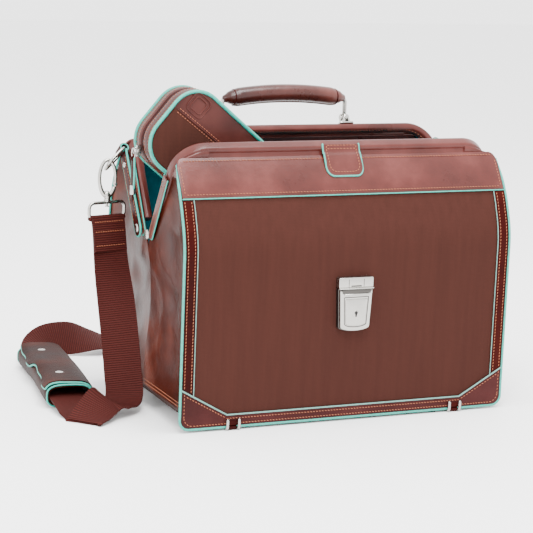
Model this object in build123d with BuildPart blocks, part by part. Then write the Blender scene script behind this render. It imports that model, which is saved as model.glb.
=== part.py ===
from build123d import *
import math
import os

# Doctor bag with a two-part steel mouth frame, a lock, a handle, a shoulder strap and a zipped case.
# Millimetres. The origin is on the floor under the middle of the base; +X is the bag's right as seen
# from the front, the front faces -Y, and +Z is up. Every piece at the back mirrors one at the front.

os.makedirs("parts", exist_ok=True)

# Body of the bag
BAG_WIDTH = 410.0
BAG_DEPTH = 250.0
HALF_W = BAG_WIDTH / 2
HALF_D = BAG_DEPTH / 2
HEM_Z = 4.0  # the front and back hang this far above the floor
BEND_Z = 215.0  # above this the front and back lean inwards
YOKE_Z = 262.0  # lower edge of the leather yoke
LIP_Z = 304.0  # upper edge of the yoke
YOKE_Y = 108.0
LIP_Y = 80.0
YOKE_CORNER_R = 34.0
FOLD_Z = 200.0  # the part of the bag above this moves with the mouth frame
SKIN = 2.0
BOARD = 2.5
LINING = 1.0
STRIP_W = 15.0
GUSSET_X = 203.4
BASE_Z = 22.0
BASE_HALF_X = 202.0
BASE_HALF_Y = 118.0
PANEL_CORNER_R = 11.0
BAND_TOP_Z = 50.0
BAND_MID_Z = 18.0
BAND_MID_X = 149.0

# Mouth frame: each half lies on its own side of a plane through the hinge, tilted by OPEN_ANGLE
HINGE_Z = 203.0
OPEN_ANGLE = 30.5
FRAME_HALF_W = 201.0
FRAME_TOP = 136.0
FRAME_CORNER_R = 38.0
COVER_T = 14.0
COVER_END = 22.0
BAR_T = 2.5
BAR_FROM = 3.0
BAR_W = 9.0
EYE_R = 9.5
RIVET_R = 2.5

# Lock
LOCK_X = 2.3
LOCK_W = 44.0
LOCK_LOW_Z = 107.0
LOCK_TOP_Z = 170.0
LOCK_FACE = HALF_D + 10.5
KEY_Z = 128.0

# Shoulder strap hardware
WEB_W = 44.0
WEB_T = 2.2
HOOK_X = 231.0
HOOK_Y = 63.0
OVAL_Z = 260.0
RING_Z = 222.0

# Zipped case
CASE_CENTRE = (-110.3, 0.0, 276.4)
CASE_TILT = 40.0
CASE_L = 220.0
CASE_W = 105.0
CASE_R = 35.0
CASE_HALF_T = 22.0

SIN_OPEN = math.sin(math.radians(OPEN_ANGLE))
COS_OPEN = math.cos(math.radians(OPEN_ANGLE))
FRAME_PLANE = Plane(
    origin=(0, 0, HINGE_Z),
    x_dir=(1, 0, 0),
    z_dir=(0, -COS_OPEN, -SIN_OPEN),
)
FRONT_PLANE = Plane.XZ.offset(HALF_D)


def save(builder, node):
    """Label a finished piece and write it."""
    builder.part.label = node
    export_step(builder.part, f"parts/{node}.step")


def save_both(builder, node):
    """Write a piece of the front, and its mirror image at the back."""
    save(builder, f"front_{node}")
    with BuildPart() as back:
        mirror(builder.part, about=Plane.XZ)
    save(back, f"back_{node}")


def in_frame(along, out):
    """(y, z) of a point of the front frame half: along its legs from the hinge, and out from its plane."""
    return (-along * SIN_OPEN - out * COS_OPEN, HINGE_Z + along * COS_OPEN - out * SIN_OPEN)


def wall_y(z):
    """How far the outer face of the front or back stands from the middle at a height."""
    if z <= BEND_Z:
        return HALF_D
    if z <= YOKE_Z:
        return HALF_D + (YOKE_Y - HALF_D) * (z - BEND_Z) / (YOKE_Z - BEND_Z)
    return YOKE_Y + (LIP_Y - YOKE_Y) * (z - YOKE_Z) / (LIP_Z - YOKE_Z)


def wall_outline(z_low, z_high, inset, thick):
    """Side outline (y, z) of a layer of the front, inset from the outer face."""
    levels = [z_low] + [z for z in (BEND_Z, YOKE_Z) if z_low < z < z_high] + [z_high]
    outer = [(-wall_y(z) + inset, z) for z in levels]
    inner = [(y + thick, z) for y, z in reversed(outer)]
    return outer + inner


# ---------------------------------------------------------------- base

with BuildPart() as base_board:
    with Locations((0, 0, BASE_Z + 2)):
        Box(2 * BASE_HALF_X, 2 * BASE_HALF_Y, 4)
save(base_board, "base_board")

with BuildPart() as base_cover:
    with Locations((0, 0, BASE_Z - 1.1)):
        Box(2 * BASE_HALF_X, 2 * BASE_HALF_Y, 1.8)
save(base_cover, "base_cover")

# Two skids run from front to back: a leather-covered runner between two bent wires
SKID_X = 142.0
SKID_WIRE_R = 1.75
SKID_WIRE_X = 7.0
SKID_END_Y = HALF_D + 4.2
SKID_END_Z = 10.0

with BuildPart() as skid_wires:
    for skid_x in (-SKID_X, SKID_X):
        for wire_x in (-SKID_WIRE_X, SKID_WIRE_X):
            with BuildLine(Plane.YZ.offset(skid_x + wire_x)) as wire_path:
                FilletPolyline(
                    (-SKID_END_Y, SKID_END_Z),
                    (-SKID_END_Y, SKID_WIRE_R),
                    (SKID_END_Y, SKID_WIRE_R),
                    (SKID_END_Y, SKID_END_Z),
                    radius=4,
                )
            with BuildSketch(Plane.XY.offset(SKID_END_Z)):
                with Locations((skid_x + wire_x, -SKID_END_Y)):
                    Circle(SKID_WIRE_R)
            sweep(path=wire_path.wires()[0])
save(skid_wires, "skid_wires")

with BuildPart() as skid_runners:
    for skid_x in (-SKID_X, SKID_X):
        with BuildSketch(Plane.YZ.offset(skid_x)):
            with Locations((0, 9.9)):
                Rectangle(2 * BASE_HALF_Y, 19.8)
            for side in (-1, 1):
                with BuildLine():
                    Polyline(
                        (side * (BASE_HALF_Y - 1), 0),
                        (side * (HALF_D + 2.2), 0),
                        (side * (HALF_D + 2.2), 12.0),
                        (side * (HALF_D + 0.2), 12.0),
                        (side * (HALF_D + 0.2), 3.2),
                        (side * (BASE_HALF_Y - 1), 3.2),
                        close=True,
                    )
                make_face()
        extrude(amount=5.1, both=True)
save(skid_runners, "skid_runners")

# ---------------------------------------------------------------- front and back, below the fold

with BuildPart() as board:
    with BuildSketch(Plane.XZ.offset(HALF_D - SKIN - 0.1)):
        with Locations((0, 101.5)):
            Rectangle(2 * 203.0, 191)
    extrude(amount=-BOARD)
    fillet(board.edges().filter_by(Axis.Y).group_by(Axis.Z)[0], radius=PANEL_CORNER_R - 2)
save_both(board, "board")

STRIP_X = HALF_W - STRIP_W
BAND_STRIP_Z = BAND_TOP_Z - (BAND_TOP_Z - BAND_MID_Z) * STRIP_W / (HALF_W - BAND_MID_X)

with BuildPart() as fabric:
    with BuildSketch(FRONT_PLANE):
        with BuildLine():
            Polyline(
                (-STRIP_X, FOLD_Z),
                (-STRIP_X, BAND_STRIP_Z),
                (-BAND_MID_X, BAND_MID_Z),
                (BAND_MID_X, BAND_MID_Z),
                (STRIP_X, BAND_STRIP_Z),
                (STRIP_X, FOLD_Z),
                close=True,
            )
        make_face()
    extrude(amount=-SKIN)
save_both(fabric, "fabric")

with BuildPart() as strips:
    with BuildSketch(FRONT_PLANE):
        for side in (-1, 1):
            with BuildLine():
                Polyline(
                    (side * HALF_W, FOLD_Z),
                    (side * HALF_W, BAND_TOP_Z + 0.2),
                    (side * (STRIP_X + 0.2), BAND_STRIP_Z + 0.4),
                    (side * (STRIP_X + 0.2), FOLD_Z),
                    close=True,
                )
            make_face()
    extrude(amount=-SKIN)
save_both(strips, "strips")

with BuildPart() as bottom_band:
    with BuildSketch(FRONT_PLANE):
        with BuildLine():
            Polyline(
                (-HALF_W, BAND_TOP_Z),
                (-BAND_MID_X, BAND_MID_Z - 0.2),
                (BAND_MID_X, BAND_MID_Z - 0.2),
                (HALF_W, BAND_TOP_Z),
                (HALF_W, HEM_Z),
                (-HALF_W, HEM_Z),
                close=True,
            )
        make_face()
    extrude(amount=-SKIN)
    fillet(bottom_band.edges().filter_by(Axis.Y).group_by(Axis.Z)[0], radius=PANEL_CORNER_R)
save_both(bottom_band, "bottom_band")

# Turquoise edging cords down the four outer edges
with BuildPart() as piping:
    with BuildSketch(Plane.XY.offset(HEM_Z + PANEL_CORNER_R)):
        with GridLocations(2 * (HALF_W + 1.3), 2 * (HALF_D - 1.2), 2, 2):
            Circle(1.2)
    extrude(amount=FOLD_Z - HEM_Z - PANEL_CORNER_R)
save(piping, "piping")

# ---------------------------------------------------------------- gussets and lining

for gusset_name, side in (("gusset_left", -1), ("gusset_right", 1)):
    with BuildPart() as gusset:
        with Locations((side * (GUSSET_X + 0.8), 0, (24.5 + FOLD_Z) / 2)):
            Box(1.6, 2 * (HALF_D - SKIN - 0.2), FOLD_Z - 24.5)
    save(gusset, gusset_name)

LINING_Y = HALF_D - SKIN - BOARD - 0.3
SIDE_LINING_TOP = 150.0

with BuildPart() as lining:
    with Locations((0, 0, BASE_Z + 4.7)):
        Box(400, 2 * BASE_HALF_Y - 2, LINING)
    for side in (-1, 1):
        with Locations((0, side * (LINING_Y - LINING / 2), (27.4 + 197) / 2)):
            Box(400, LINING, 197 - 27.4)
        with Locations((side * 202.6, 0, (27.4 + SIDE_LINING_TOP) / 2)):
            Box(0.8, 2 * BASE_HALF_Y, SIDE_LINING_TOP - 27.4)
save(lining, "lining")

# ---------------------------------------------------------------- lock

LIP_LOW_Z = 158.0
BODY_TOP_Z = 156.0

with BuildPart() as lock_frame:
    with BuildSketch(Plane.XZ.offset(HALF_D + 0.1)):
        with Locations((LOCK_X, (LOCK_LOW_Z + LOCK_TOP_Z) / 2)):
            RectangleRounded(LOCK_W, LOCK_TOP_Z - LOCK_LOW_Z, 4)
    extrude(amount=1.9)
    with BuildSketch(Plane.XZ.offset(HALF_D + 2)):
        with Locations((LOCK_X, (LIP_LOW_Z + LOCK_TOP_Z) / 2)):
            RectangleRounded(LOCK_W, LOCK_TOP_Z - LIP_LOW_Z, 2)
    extrude(amount=5)
    fillet(lock_frame.faces().sort_by(Axis.Y)[0].edges(), radius=1.2)
    with BuildSketch(Plane.XZ.offset(HALF_D + 7)):
        with Locations((LOCK_X, (LIP_LOW_Z + LOCK_TOP_Z) / 2)):
            SlotOverall(16, 3)
    extrude(amount=-4, mode=Mode.SUBTRACT)
save(lock_frame, "lock_frame")

SLIDE_LOW_Z = 150.0

with BuildPart() as lock_body:
    with BuildSketch(Plane.XZ.offset(HALF_D + 2.1)):
        with BuildLine():
            Line((LOCK_X - 21, BODY_TOP_Z), (LOCK_X + 21, BODY_TOP_Z))
            Line((LOCK_X + 21, BODY_TOP_Z), (LOCK_X + 18.5, LOCK_LOW_Z + 7))
            ThreePointArc(
                (LOCK_X + 18.5, LOCK_LOW_Z + 7),
                (LOCK_X, LOCK_LOW_Z + 1.5),
                (LOCK_X - 18.5, LOCK_LOW_Z + 7),
            )
            Line((LOCK_X - 18.5, LOCK_LOW_Z + 7), (LOCK_X - 21, BODY_TOP_Z))
        make_face()
    extrude(amount=LOCK_FACE - HALF_D - 2.1)
    fillet(lock_body.faces().sort_by(Axis.Y)[0].edges(), radius=2.2)
    with BuildSketch(Plane.XZ.offset(LOCK_FACE)):
        with Locations((LOCK_X, 131)):
            RectangleRounded(28, 32, 3)
    extrude(amount=-1.2, mode=Mode.SUBTRACT)
    with Locations((LOCK_X, -(LOCK_FACE - 4.2), (SLIDE_LOW_Z - 3.5 + BODY_TOP_Z) / 2)):
        Box(26.2, 5.2, BODY_TOP_Z - SLIDE_LOW_Z + 3.5, mode=Mode.SUBTRACT)
    with BuildSketch(Plane.XZ.offset(LOCK_FACE)):
        with Locations((LOCK_X, KEY_Z)):
            Circle(4.6)
    extrude(amount=-7.5, mode=Mode.SUBTRACT)
save(lock_body, "lock_body")

# Spring-loaded release slide in the top of the lock body
with BuildPart() as lock_slide:
    with Locations((LOCK_X, -(LOCK_FACE - 4.2), (SLIDE_LOW_Z + BODY_TOP_Z + 1.6) / 2)):
        Box(25.6, 4.6, BODY_TOP_Z + 1.6 - SLIDE_LOW_Z)
    fillet(lock_slide.edges().filter_by(Axis.X).group_by(Axis.Z)[-1], radius=0.8)
save(lock_slide, "lock_slide")

with BuildPart() as lock_cylinder:
    with BuildSketch(Plane.XZ.offset(LOCK_FACE - 0.4)):
        with Locations((LOCK_X, KEY_Z)):
            Circle(4.5)
    extrude(amount=-6.9)
    with BuildSketch(Plane.XZ.offset(LOCK_FACE - 0.4)):
        with Locations((LOCK_X, KEY_Z + 1)):
            Circle(1.3)
        with Locations((LOCK_X, KEY_Z - 1)):
            Rectangle(1.2, 4)
    extrude(amount=-3, mode=Mode.SUBTRACT)
save(lock_cylinder, "lock_cylinder")

# Backing plate inside the bag, riveted through the front
with BuildPart() as lock_backplate:
    with BuildSketch(Plane.XZ.offset(LINING_Y - LINING - 0.1)):
        with Locations((LOCK_X, (LOCK_LOW_Z + LOCK_TOP_Z) / 2)):
            RectangleRounded(LOCK_W - 2, LOCK_TOP_Z - LOCK_LOW_Z - 2, 4)
    extrude(amount=-1.2)
    fillet(lock_backplate.faces().sort_by(Axis.Y)[-1].edges(), radius=0.5)
save(lock_backplate, "lock_backplate")

# ---------------------------------------------------------------- moving upper parts of the front and back

with BuildPart() as yoke:
    with BuildSketch(Plane.YZ):
        with BuildLine():
            Polyline(*wall_outline(YOKE_Z + 0.1, LIP_Z, 0, SKIN), close=True)
        make_face()
    extrude(amount=HALF_W, both=True)
    with BuildSketch(FRONT_PLANE):
        RectangleRounded(BAG_WIDTH, 2 * LIP_Z, YOKE_CORNER_R)
    extrude(amount=-HALF_D, mode=Mode.INTERSECT)
save_both(yoke, "yoke")

with BuildPart() as upper_fabric:
    with BuildSketch(Plane.YZ):
        with BuildLine():
            Polyline(*wall_outline(FOLD_Z + 0.3, YOKE_Z - 0.1, 0, SKIN), close=True)
        make_face()
    extrude(amount=STRIP_X, both=True)
save_both(upper_fabric, "upper_fabric")

with BuildPart() as upper_strips:
    for low_x in (-HALF_W, STRIP_X + 0.2):
        with BuildSketch(Plane.YZ.offset(low_x)):
            with BuildLine():
                Polyline(*wall_outline(FOLD_Z + 0.3, YOKE_Z - 0.1, 0, SKIN), close=True)
            make_face()
        extrude(amount=STRIP_W - 0.2)
save_both(upper_strips, "upper_strips")

with BuildPart() as upper_lining:
    with BuildSketch(Plane.YZ):
        with BuildLine():
            Polyline(*wall_outline(FOLD_Z + 3, LIP_Z - 8, SKIN + 0.3, LINING), close=True)
        make_face()
    extrude(amount=188, both=True)
save_both(upper_lining, "upper_lining")

# The upper ends of the gussets, between each panel and the frame leg it is sewn to
with BuildPart() as gusset_flaps:
    for low_x in (-GUSSET_X + 0.2, GUSSET_X - 1.2):
        with BuildSketch(Plane.YZ.offset(low_x)):
            with BuildLine():
                Polyline(
                    (-119, 203),
                    (-119, 214),
                    (-103, 259),
                    (-84, 294),
                    (-20, 200),
                    (-14, 190),
                    (-40, 180),
                    (-90, 190),
                    close=True,
                )
            make_face()
        extrude(amount=1.0)
save_both(gusset_flaps, "gusset_flaps")

# ---------------------------------------------------------------- mouth frame


def frame_band(outer_half_w, top, thick, corner_r, low, out_from, out_thick):
    """A U-shaped band lying along the front frame half, open at the hinge end."""
    tall = 2 * top
    with BuildPart() as band:
        with BuildSketch(FRAME_PLANE.offset(out_from)):
            RectangleRounded(2 * outer_half_w, tall, corner_r)
            RectangleRounded(
                2 * (outer_half_w - thick),
                tall - 2 * thick,
                corner_r - thick,
                mode=Mode.SUBTRACT,
            )
            with Locations((0, low - top)):
                Rectangle(2 * outer_half_w + 2, tall, mode=Mode.SUBTRACT)
        extrude(amount=out_thick)
    return band.part


EYE_FRONT_X = 193.0
EYE_BACK_X = 197.9
EYE_T = 2.6


def frame_bar(eye_x, hole_y, hole_r):
    """Steel strip bent into a U, with a flat eye at the end of each leg."""
    with BuildPart() as bar:
        add(frame_band(198.0, 131.0, BAR_T, 33.0, 12.0, BAR_FROM, BAR_W))
        for low_x in (eye_x, -eye_x - EYE_T):
            with BuildSketch(Plane.YZ.offset(low_x)):
                with Locations((0, HINGE_Z)):
                    Circle(EYE_R)
                with BuildLine():
                    Polyline(
                        in_frame(3, BAR_FROM),
                        in_frame(32, BAR_FROM),
                        in_frame(32, BAR_FROM + BAR_W),
                        in_frame(3, BAR_FROM + BAR_W),
                        close=True,
                    )
                make_face()
                with Locations((hole_y, HINGE_Z)):
                    Circle(hole_r, mode=Mode.SUBTRACT)
            extrude(amount=EYE_T)
    return bar.part


# The front eye is a wide clearance hole: the halves cross by a few millimetres in mid-travel
with BuildPart() as front_frame_bar:
    add(frame_bar(EYE_FRONT_X, -2.6, 6.2))
save(front_frame_bar, "front_frame_bar")

with BuildPart() as back_frame_bar:
    mirror(frame_bar(EYE_BACK_X, 0, RIVET_R), about=Plane.XZ)
save(back_frame_bar, "back_frame_bar")

for frame_name, bar, flip in (("front", front_frame_bar, False), ("back", back_frame_bar, True)):
    with BuildPart() as cover:
        band = frame_band(FRAME_HALF_W, FRAME_TOP, 9.0, FRAME_CORNER_R, COVER_END, 0.5, COVER_T)
        if flip:
            mirror(band, about=Plane.XZ)
        else:
            add(band)
        add(bar.part, mode=Mode.SUBTRACT)
    save(cover, f"{frame_name}_frame_cover")

with BuildPart() as hinge_rivets:
    for side in (-1, 1):
        with BuildSketch(Plane.YZ.offset(side * 190.8)):
            with Locations((0, HINGE_Z)):
                Circle(RIVET_R)
        extrude(amount=side * 11.1)
        with BuildSketch(Plane.YZ.offset(side * 190.8)):
            with Locations((0, HINGE_Z)):
                Circle(8.0)
        extrude(amount=side * 1.6)
        with BuildSketch(Plane.YZ.offset(side * 200.8)):
            with Locations((0, HINGE_Z)):
                Circle(6.0)
        extrude(amount=side * 1.1)
save(hinge_rivets, "hinge_rivets")

# Leather pull tab hanging from the front frame
TAB_HINGE = (-83.0, 313.6)

with BuildPart() as tab:
    with BuildSketch(Plane.YZ):
        with BuildLine():
            Polyline(
                (-82.4, 314.0),
                (-84.8, 303.0),
                (-97.9, 279.5),
                (-99.7, 280.4),
                (-86.8, 303.6),
                (-84.3, 314.4),
                close=True,
            )
        make_face()
    extrude(amount=23, both=True)
    with BuildSketch(FRONT_PLANE):
        with Locations((0, 310)):
            RectangleRounded(46, 61, 9)
    extrude(amount=-HALF_D, mode=Mode.INTERSECT)
save(tab, "pull_tab")

# ---------------------------------------------------------------- handle

HANDLE_X = 82.0
PIN_ALONG = 146.0
PIN_OUT = 7.5
PIN_R = 3.0
PIN_Y = -in_frame(PIN_ALONG, PIN_OUT)[0]
PIN_Z = in_frame(PIN_ALONG, PIN_OUT)[1]
EAR_IN = 2.3
EAR_T = 2.0
EAR_MID = (FRAME_TOP + PIN_ALONG) / 2 + 2

with BuildPart() as front_brackets:
    for side in (-1, 1):
        with BuildSketch(FRAME_PLANE.offset(1.0)):
            with Locations((side * HANDLE_X, FRAME_TOP + 1.1)):
                Rectangle(17, 2)
            for ear in (-1, 1):
                with Locations((side * HANDLE_X + ear * (EAR_IN + EAR_T / 2), EAR_MID)):
                    Rectangle(EAR_T, PIN_ALONG - FRAME_TOP + 3.8)
        extrude(amount=13)
        with BuildSketch(Plane.YZ.offset(side * HANDLE_X - EAR_IN - EAR_T)):
            with Locations((-PIN_Y, PIN_Z)):
                Circle(PIN_R)
        extrude(amount=2 * (EAR_IN + EAR_T))
with BuildPart() as handle_brackets:
    mirror(front_brackets.part, about=Plane.XZ)
save(handle_brackets, "handle_brackets")

HANDLE_PLANE = Plane.XZ.offset(-PIN_Y)
GRIP_END_X = 74.0
GRIP_END_Z = 351.0
GRIP_MID_Z = 357.0

with BuildPart() as handle_core:
    with BuildLine(HANDLE_PLANE) as core_path:
        FilletPolyline(
            (-HANDLE_X, PIN_Z + 4.4),
            (-HANDLE_X, 348),
            (-66, 354),
            (66, 354),
            (HANDLE_X, 348),
            (HANDLE_X, PIN_Z + 4.4),
            radius=6,
        )
    with BuildSketch(Plane.XY.offset(PIN_Z + 4.4)):
        with Locations((-HANDLE_X, PIN_Y)):
            Circle(2.0)
    sweep(path=core_path.wires()[0])
    for side in (-1, 1):
        with BuildSketch(Plane.YZ.offset(side * HANDLE_X - 1.9)):
            with Locations((PIN_Y, PIN_Z)):
                Circle(5.6)
        extrude(amount=3.8)
        with BuildSketch(Plane.YZ.offset(side * HANDLE_X - 2)):
            with Locations((PIN_Y, PIN_Z)):
                Circle(PIN_R + 0.08)
        extrude(amount=4, mode=Mode.SUBTRACT)
save(handle_core, "handle_core")

with BuildPart() as handle_grip:
    with BuildLine(HANDLE_PLANE) as grip_path:
        ThreePointArc((-GRIP_END_X, GRIP_END_Z), (0, GRIP_MID_Z), (GRIP_END_X, GRIP_END_Z))
    with BuildSketch(Plane(origin=grip_path.line @ 0, z_dir=grip_path.line % 0, x_dir=(0, 1, 0))):
        Ellipse(12, 10.5)
    sweep(path=grip_path.wires()[0])
    add(handle_core.part, mode=Mode.SUBTRACT)
save(handle_grip, "handle_grip")

# ---------------------------------------------------------------- closing strap and hasp at the back

CLOSER_HINGE = (85.0, 314.6)

with BuildPart() as closing_strap:
    with BuildSketch(Plane.YZ):
        with BuildLine():
            Polyline(
                (83.6, 314.6),
                (110.4, 263.6),
                (128.6, 215.6),
                (128.6, 108.0),
                (131.4, 108.0),
                (131.4, 216.4),
                (113.0, 264.8),
                (86.2, 316.0),
                close=True,
            )
        make_face()
    extrude(amount=17, both=True)
save(closing_strap, "closing_strap")

with BuildPart() as hasp:
    with BuildSketch(Plane.XZ.offset(-131.5)):
        with Locations((0, 122)):
            RectangleRounded(30, 30, 4)
    extrude(amount=-1.6)
    with BuildSketch(Plane.XZ.offset(-133.0)):
        with Locations((0, 122)):
            RectangleRounded(14, 8, 2)
        with Locations((0, 122)):
            RectangleRounded(8, 3, 1, mode=Mode.SUBTRACT)
    extrude(amount=-2.5)
save(hasp, "hasp")

# ---------------------------------------------------------------- strap anchors and snap hooks

ANCHOR_LOW = (20.0, 207.0)
ANCHOR_HIGH = (77.0, 290.0)
ANCHOR_RIVETS = (ANCHOR_LOW, (66.5, 274.7))
ANCHOR_SPAN = math.dist(ANCHOR_LOW, ANCHOR_HIGH)
ANCHOR_DIR = (
    (ANCHOR_HIGH[0] - ANCHOR_LOW[0]) / ANCHOR_SPAN,
    (ANCHOR_HIGH[1] - ANCHOR_LOW[1]) / ANCHOR_SPAN,
)
ANCHOR_SLOPE = math.degrees(math.atan2(ANCHOR_DIR[1], ANCHOR_DIR[0]))
ANCHOR_MID = ((ANCHOR_LOW[0] + ANCHOR_HIGH[0]) / 2, (ANCHOR_LOW[1] + ANCHOR_HIGH[1]) / 2)
ANCHOR_IN_X = 205.6
LOOP_PLANE = Plane(
    origin=(-208.2, ANCHOR_HIGH[0], ANCHOR_HIGH[1]),
    x_dir=(-1, 0, 0),
    z_dir=(0, ANCHOR_DIR[1], -ANCHOR_DIR[0]),
)

with BuildPart() as anchor_left:
    with BuildSketch(Plane.YZ.offset(-ANCHOR_IN_X)):
        with Locations(ANCHOR_MID):
            SlotCenterToCenter(ANCHOR_SPAN - 6, 18, rotation=ANCHOR_SLOPE)
        with Locations(*ANCHOR_RIVETS):
            Circle(2.1, mode=Mode.SUBTRACT)
    extrude(amount=-2.0)
    with BuildSketch(LOOP_PLANE.offset(-8)):
        Circle(4.8)
    extrude(amount=16)
    with BuildSketch(LOOP_PLANE.offset(-10)):
        Circle(2.9)
    extrude(amount=20, mode=Mode.SUBTRACT)

with BuildPart() as anchor_strips:
    add(anchor_left.part)
    mirror(anchor_left.part, about=Plane.YZ)
save(anchor_strips, "anchor_strips")

with BuildPart() as anchor_rivets:
    for side in (-1, 1):
        for rivet_y, rivet_z in ANCHOR_RIVETS:
            with BuildSketch(Plane.YZ.offset(side * (ANCHOR_IN_X - 0.2))):
                with Locations((rivet_y, rivet_z)):
                    Circle(2.0)
            extrude(amount=side * 2.3)
            with BuildSketch(Plane.YZ.offset(side * (ANCHOR_IN_X + 2.05))):
                with Locations((rivet_y, rivet_z)):
                    Circle(5.2)
            extrude(amount=side * 1.3)
save(anchor_rivets, "anchor_rivets")

# D-ring through the leather loop, hanging outwards and forwards
D_DROP = 0.669
D_OUT = 0.743
D_PLANE = Plane(
    origin=LOOP_PLANE.origin,
    x_dir=(0, ANCHOR_DIR[1], -ANCHOR_DIR[0]),
    z_dir=Vector(0, ANCHOR_DIR[1], -ANCHOR_DIR[0]).cross(
        Vector(-D_OUT, -D_DROP * ANCHOR_DIR[0], -D_DROP * ANCHOR_DIR[1])
    ),
)
D_WIRE = 3.6
D_DEPTH = 31.0
D_CORNER_R = 6.5

with BuildPart() as d_ring_left:
    with BuildSketch(D_PLANE):
        with Locations((0, D_DEPTH / 2)):
            RectangleRounded(26 + D_WIRE, D_DEPTH + D_WIRE, D_CORNER_R)
            RectangleRounded(26 - D_WIRE, D_DEPTH - D_WIRE, D_CORNER_R - D_WIRE, mode=Mode.SUBTRACT)
    extrude(amount=D_WIRE / 2, both=True)
with BuildPart() as d_rings:
    add(d_ring_left.part)
    mirror(d_ring_left.part, about=Plane.YZ)
save(d_rings, "d_rings")

# Snap hook: an oval with a spring gate in its inner side, and a swivel neck
GATE_LOW_Z = OVAL_Z - 10.0
GATE_HIGH_Z = OVAL_Z + 8.0
OVAL_HALF_W = 12.0
GATE_X = HOOK_X - OVAL_HALF_W + 2.2
GATE_TALL = GATE_HIGH_Z - GATE_LOW_Z - 1.0
HOOK_PLANE = Plane.XZ.offset(-HOOK_Y)

with BuildPart() as hook_left:
    with BuildSketch(HOOK_PLANE):
        with Locations((-HOOK_X, OVAL_Z)):
            Ellipse(OVAL_HALF_W, 24)
            Ellipse(OVAL_HALF_W - 4.4, 19.2, mode=Mode.SUBTRACT)
        with Locations((-GATE_X, (GATE_LOW_Z + GATE_HIGH_Z) / 2)):
            Rectangle(8, GATE_HIGH_Z - GATE_LOW_Z, mode=Mode.SUBTRACT)
    extrude(amount=2.5, both=True)
    with BuildSketch(Plane.XY.offset(RING_Z + 10.6)):
        with Locations((-HOOK_X, HOOK_Y)):
            Circle(3.4)
    extrude(amount=OVAL_Z - 22 - RING_Z - 10.6)
with BuildPart() as hook_bodies:
    add(hook_left.part)
    mirror(hook_left.part, about=Plane.YZ)
save(hook_bodies, "hook_bodies")

with BuildPart() as gate_left:
    with BuildSketch(HOOK_PLANE):
        with Locations((-GATE_X, GATE_HIGH_Z - 0.3 - GATE_TALL / 2)):
            Rectangle(3.2, GATE_TALL)
    extrude(amount=2.0, both=True)
save(gate_left, "hook_gate_left")

with BuildPart() as gate_right:
    mirror(gate_left.part, about=Plane.YZ)
save(gate_right, "hook_gate_right")

# Rectangular ring that the webbing is sewn round, turned a little outwards
RING_TURN = (0.97, 0.2431, 0)
RING_PLANE = Plane(origin=(-HOOK_X, HOOK_Y, RING_Z), x_dir=RING_TURN, z_dir=(0.2431, -0.97, 0))
RING_OUTER = 51.0

with BuildPart() as ring_left:
    with BuildSketch(RING_PLANE):
        RectangleRounded(RING_OUTER, 21, 7)
        RectangleRounded(RING_OUTER - 6.4, 14.6, 4, mode=Mode.SUBTRACT)
    extrude(amount=1.6, both=True)
with BuildPart() as strap_rings:
    add(ring_left.part)
    mirror(ring_left.part, about=Plane.YZ)
save(strap_rings, "strap_rings")

# ---------------------------------------------------------------- shoulder strap

# Middle of the webbing and the direction across it, from the left ring to the right ring. It hangs to the
# floor, turns under the pad, runs through it, and passes behind the bag to climb to the other ring.
ROUTE = [
    ((-230, 58, 196), (0.97, 0.24, 0)),
    ((-229, 48, 158), (0.98, 0.10, 0)),
    ((-228, 31, 118), (0.96, -0.20, 0)),
    ((-227.5, 16, 78), (0.92, -0.38, 0)),
    ((-227.5, 4, 42), (0.91, -0.41, 0)),
    ((-231, -12, 17), (0.93, -0.30, -0.05)),
    ((-245, -30, 9), (0.90, 0.30, 0.20)),
    ((-267, -36, 10), (0.75, 0.60, 0.28)),
    ((-289, -23, 13), (0.72, 0.53, 0.45)),
    ((-291, 8, 13), (0.99, -0.12, 0)),
    ((-285, 56, 13), (0.99, -0.12, 0)),
    ((-278, 108, 13), (0.99, -0.12, 0)),
    ((-272, 160, 13), (0.99, -0.12, 0)),
    ((-266, 208, 14), (0.99, -0.12, 0)),
    ((-259, 232, 18), (0.85, -0.25, -0.45)),
    ((-240, 248, 22), (0.35, -0.40, -0.85)),
    ((-212, 254, 22), (0.05, -0.50, -0.86)),
    ((-180, 255, 18), (0, -0.92, -0.40)),
    ((-140, 250, 10), (0, -1, 0)),
    ((-90, 240, 3), (0.10, -0.99, 0)),
    ((-30, 230, 2), (0.10, -0.99, 0)),
    ((30, 222, 2), (0.10, -0.99, 0)),
    ((90, 216, 3), (0.05, -0.99, 0)),
    ((140, 212, 9), (0, -0.95, -0.30)),
    ((184, 205, 20), (-0.10, -0.60, -0.80)),
    ((218, 188, 23), (-0.30, -0.20, -0.93)),
    ((238, 158, 25), (-0.60, -0.10, -0.78)),
    ((243, 124, 36), (-0.90, 0, -0.40)),
    ((240, 94, 64), (-0.99, 0.10, 0)),
    ((236, 76, 106), (-0.97, 0.16, 0)),
    ((232, 66, 150), (-0.97, 0.24, 0)),
    ((230, 58, 196), (-0.97, 0.24, 0)),
]


def web_plane(index):
    """Plane across the webbing at a point of the route."""
    here = Vector(*ROUTE[index][0])
    before = Vector(*ROUTE[max(index - 1, 0)][0])
    after = Vector(*ROUTE[min(index + 1, len(ROUTE) - 1)][0])
    way = (after - before).normalized()
    across = Vector(*ROUTE[index][1])
    across = (across - way * across.dot(way)).normalized()
    return Plane(origin=here, x_dir=across, z_dir=way)


with BuildPart() as shoulder_strap:
    for index in range(len(ROUTE) - 1):
        with BuildSketch(web_plane(index)):
            Rectangle(WEB_W, WEB_T)
        with BuildSketch(web_plane(index + 1)):
            Rectangle(WEB_W, WEB_T)
        loft(ruled=True)
save(shoulder_strap, "shoulder_strap")

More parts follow.
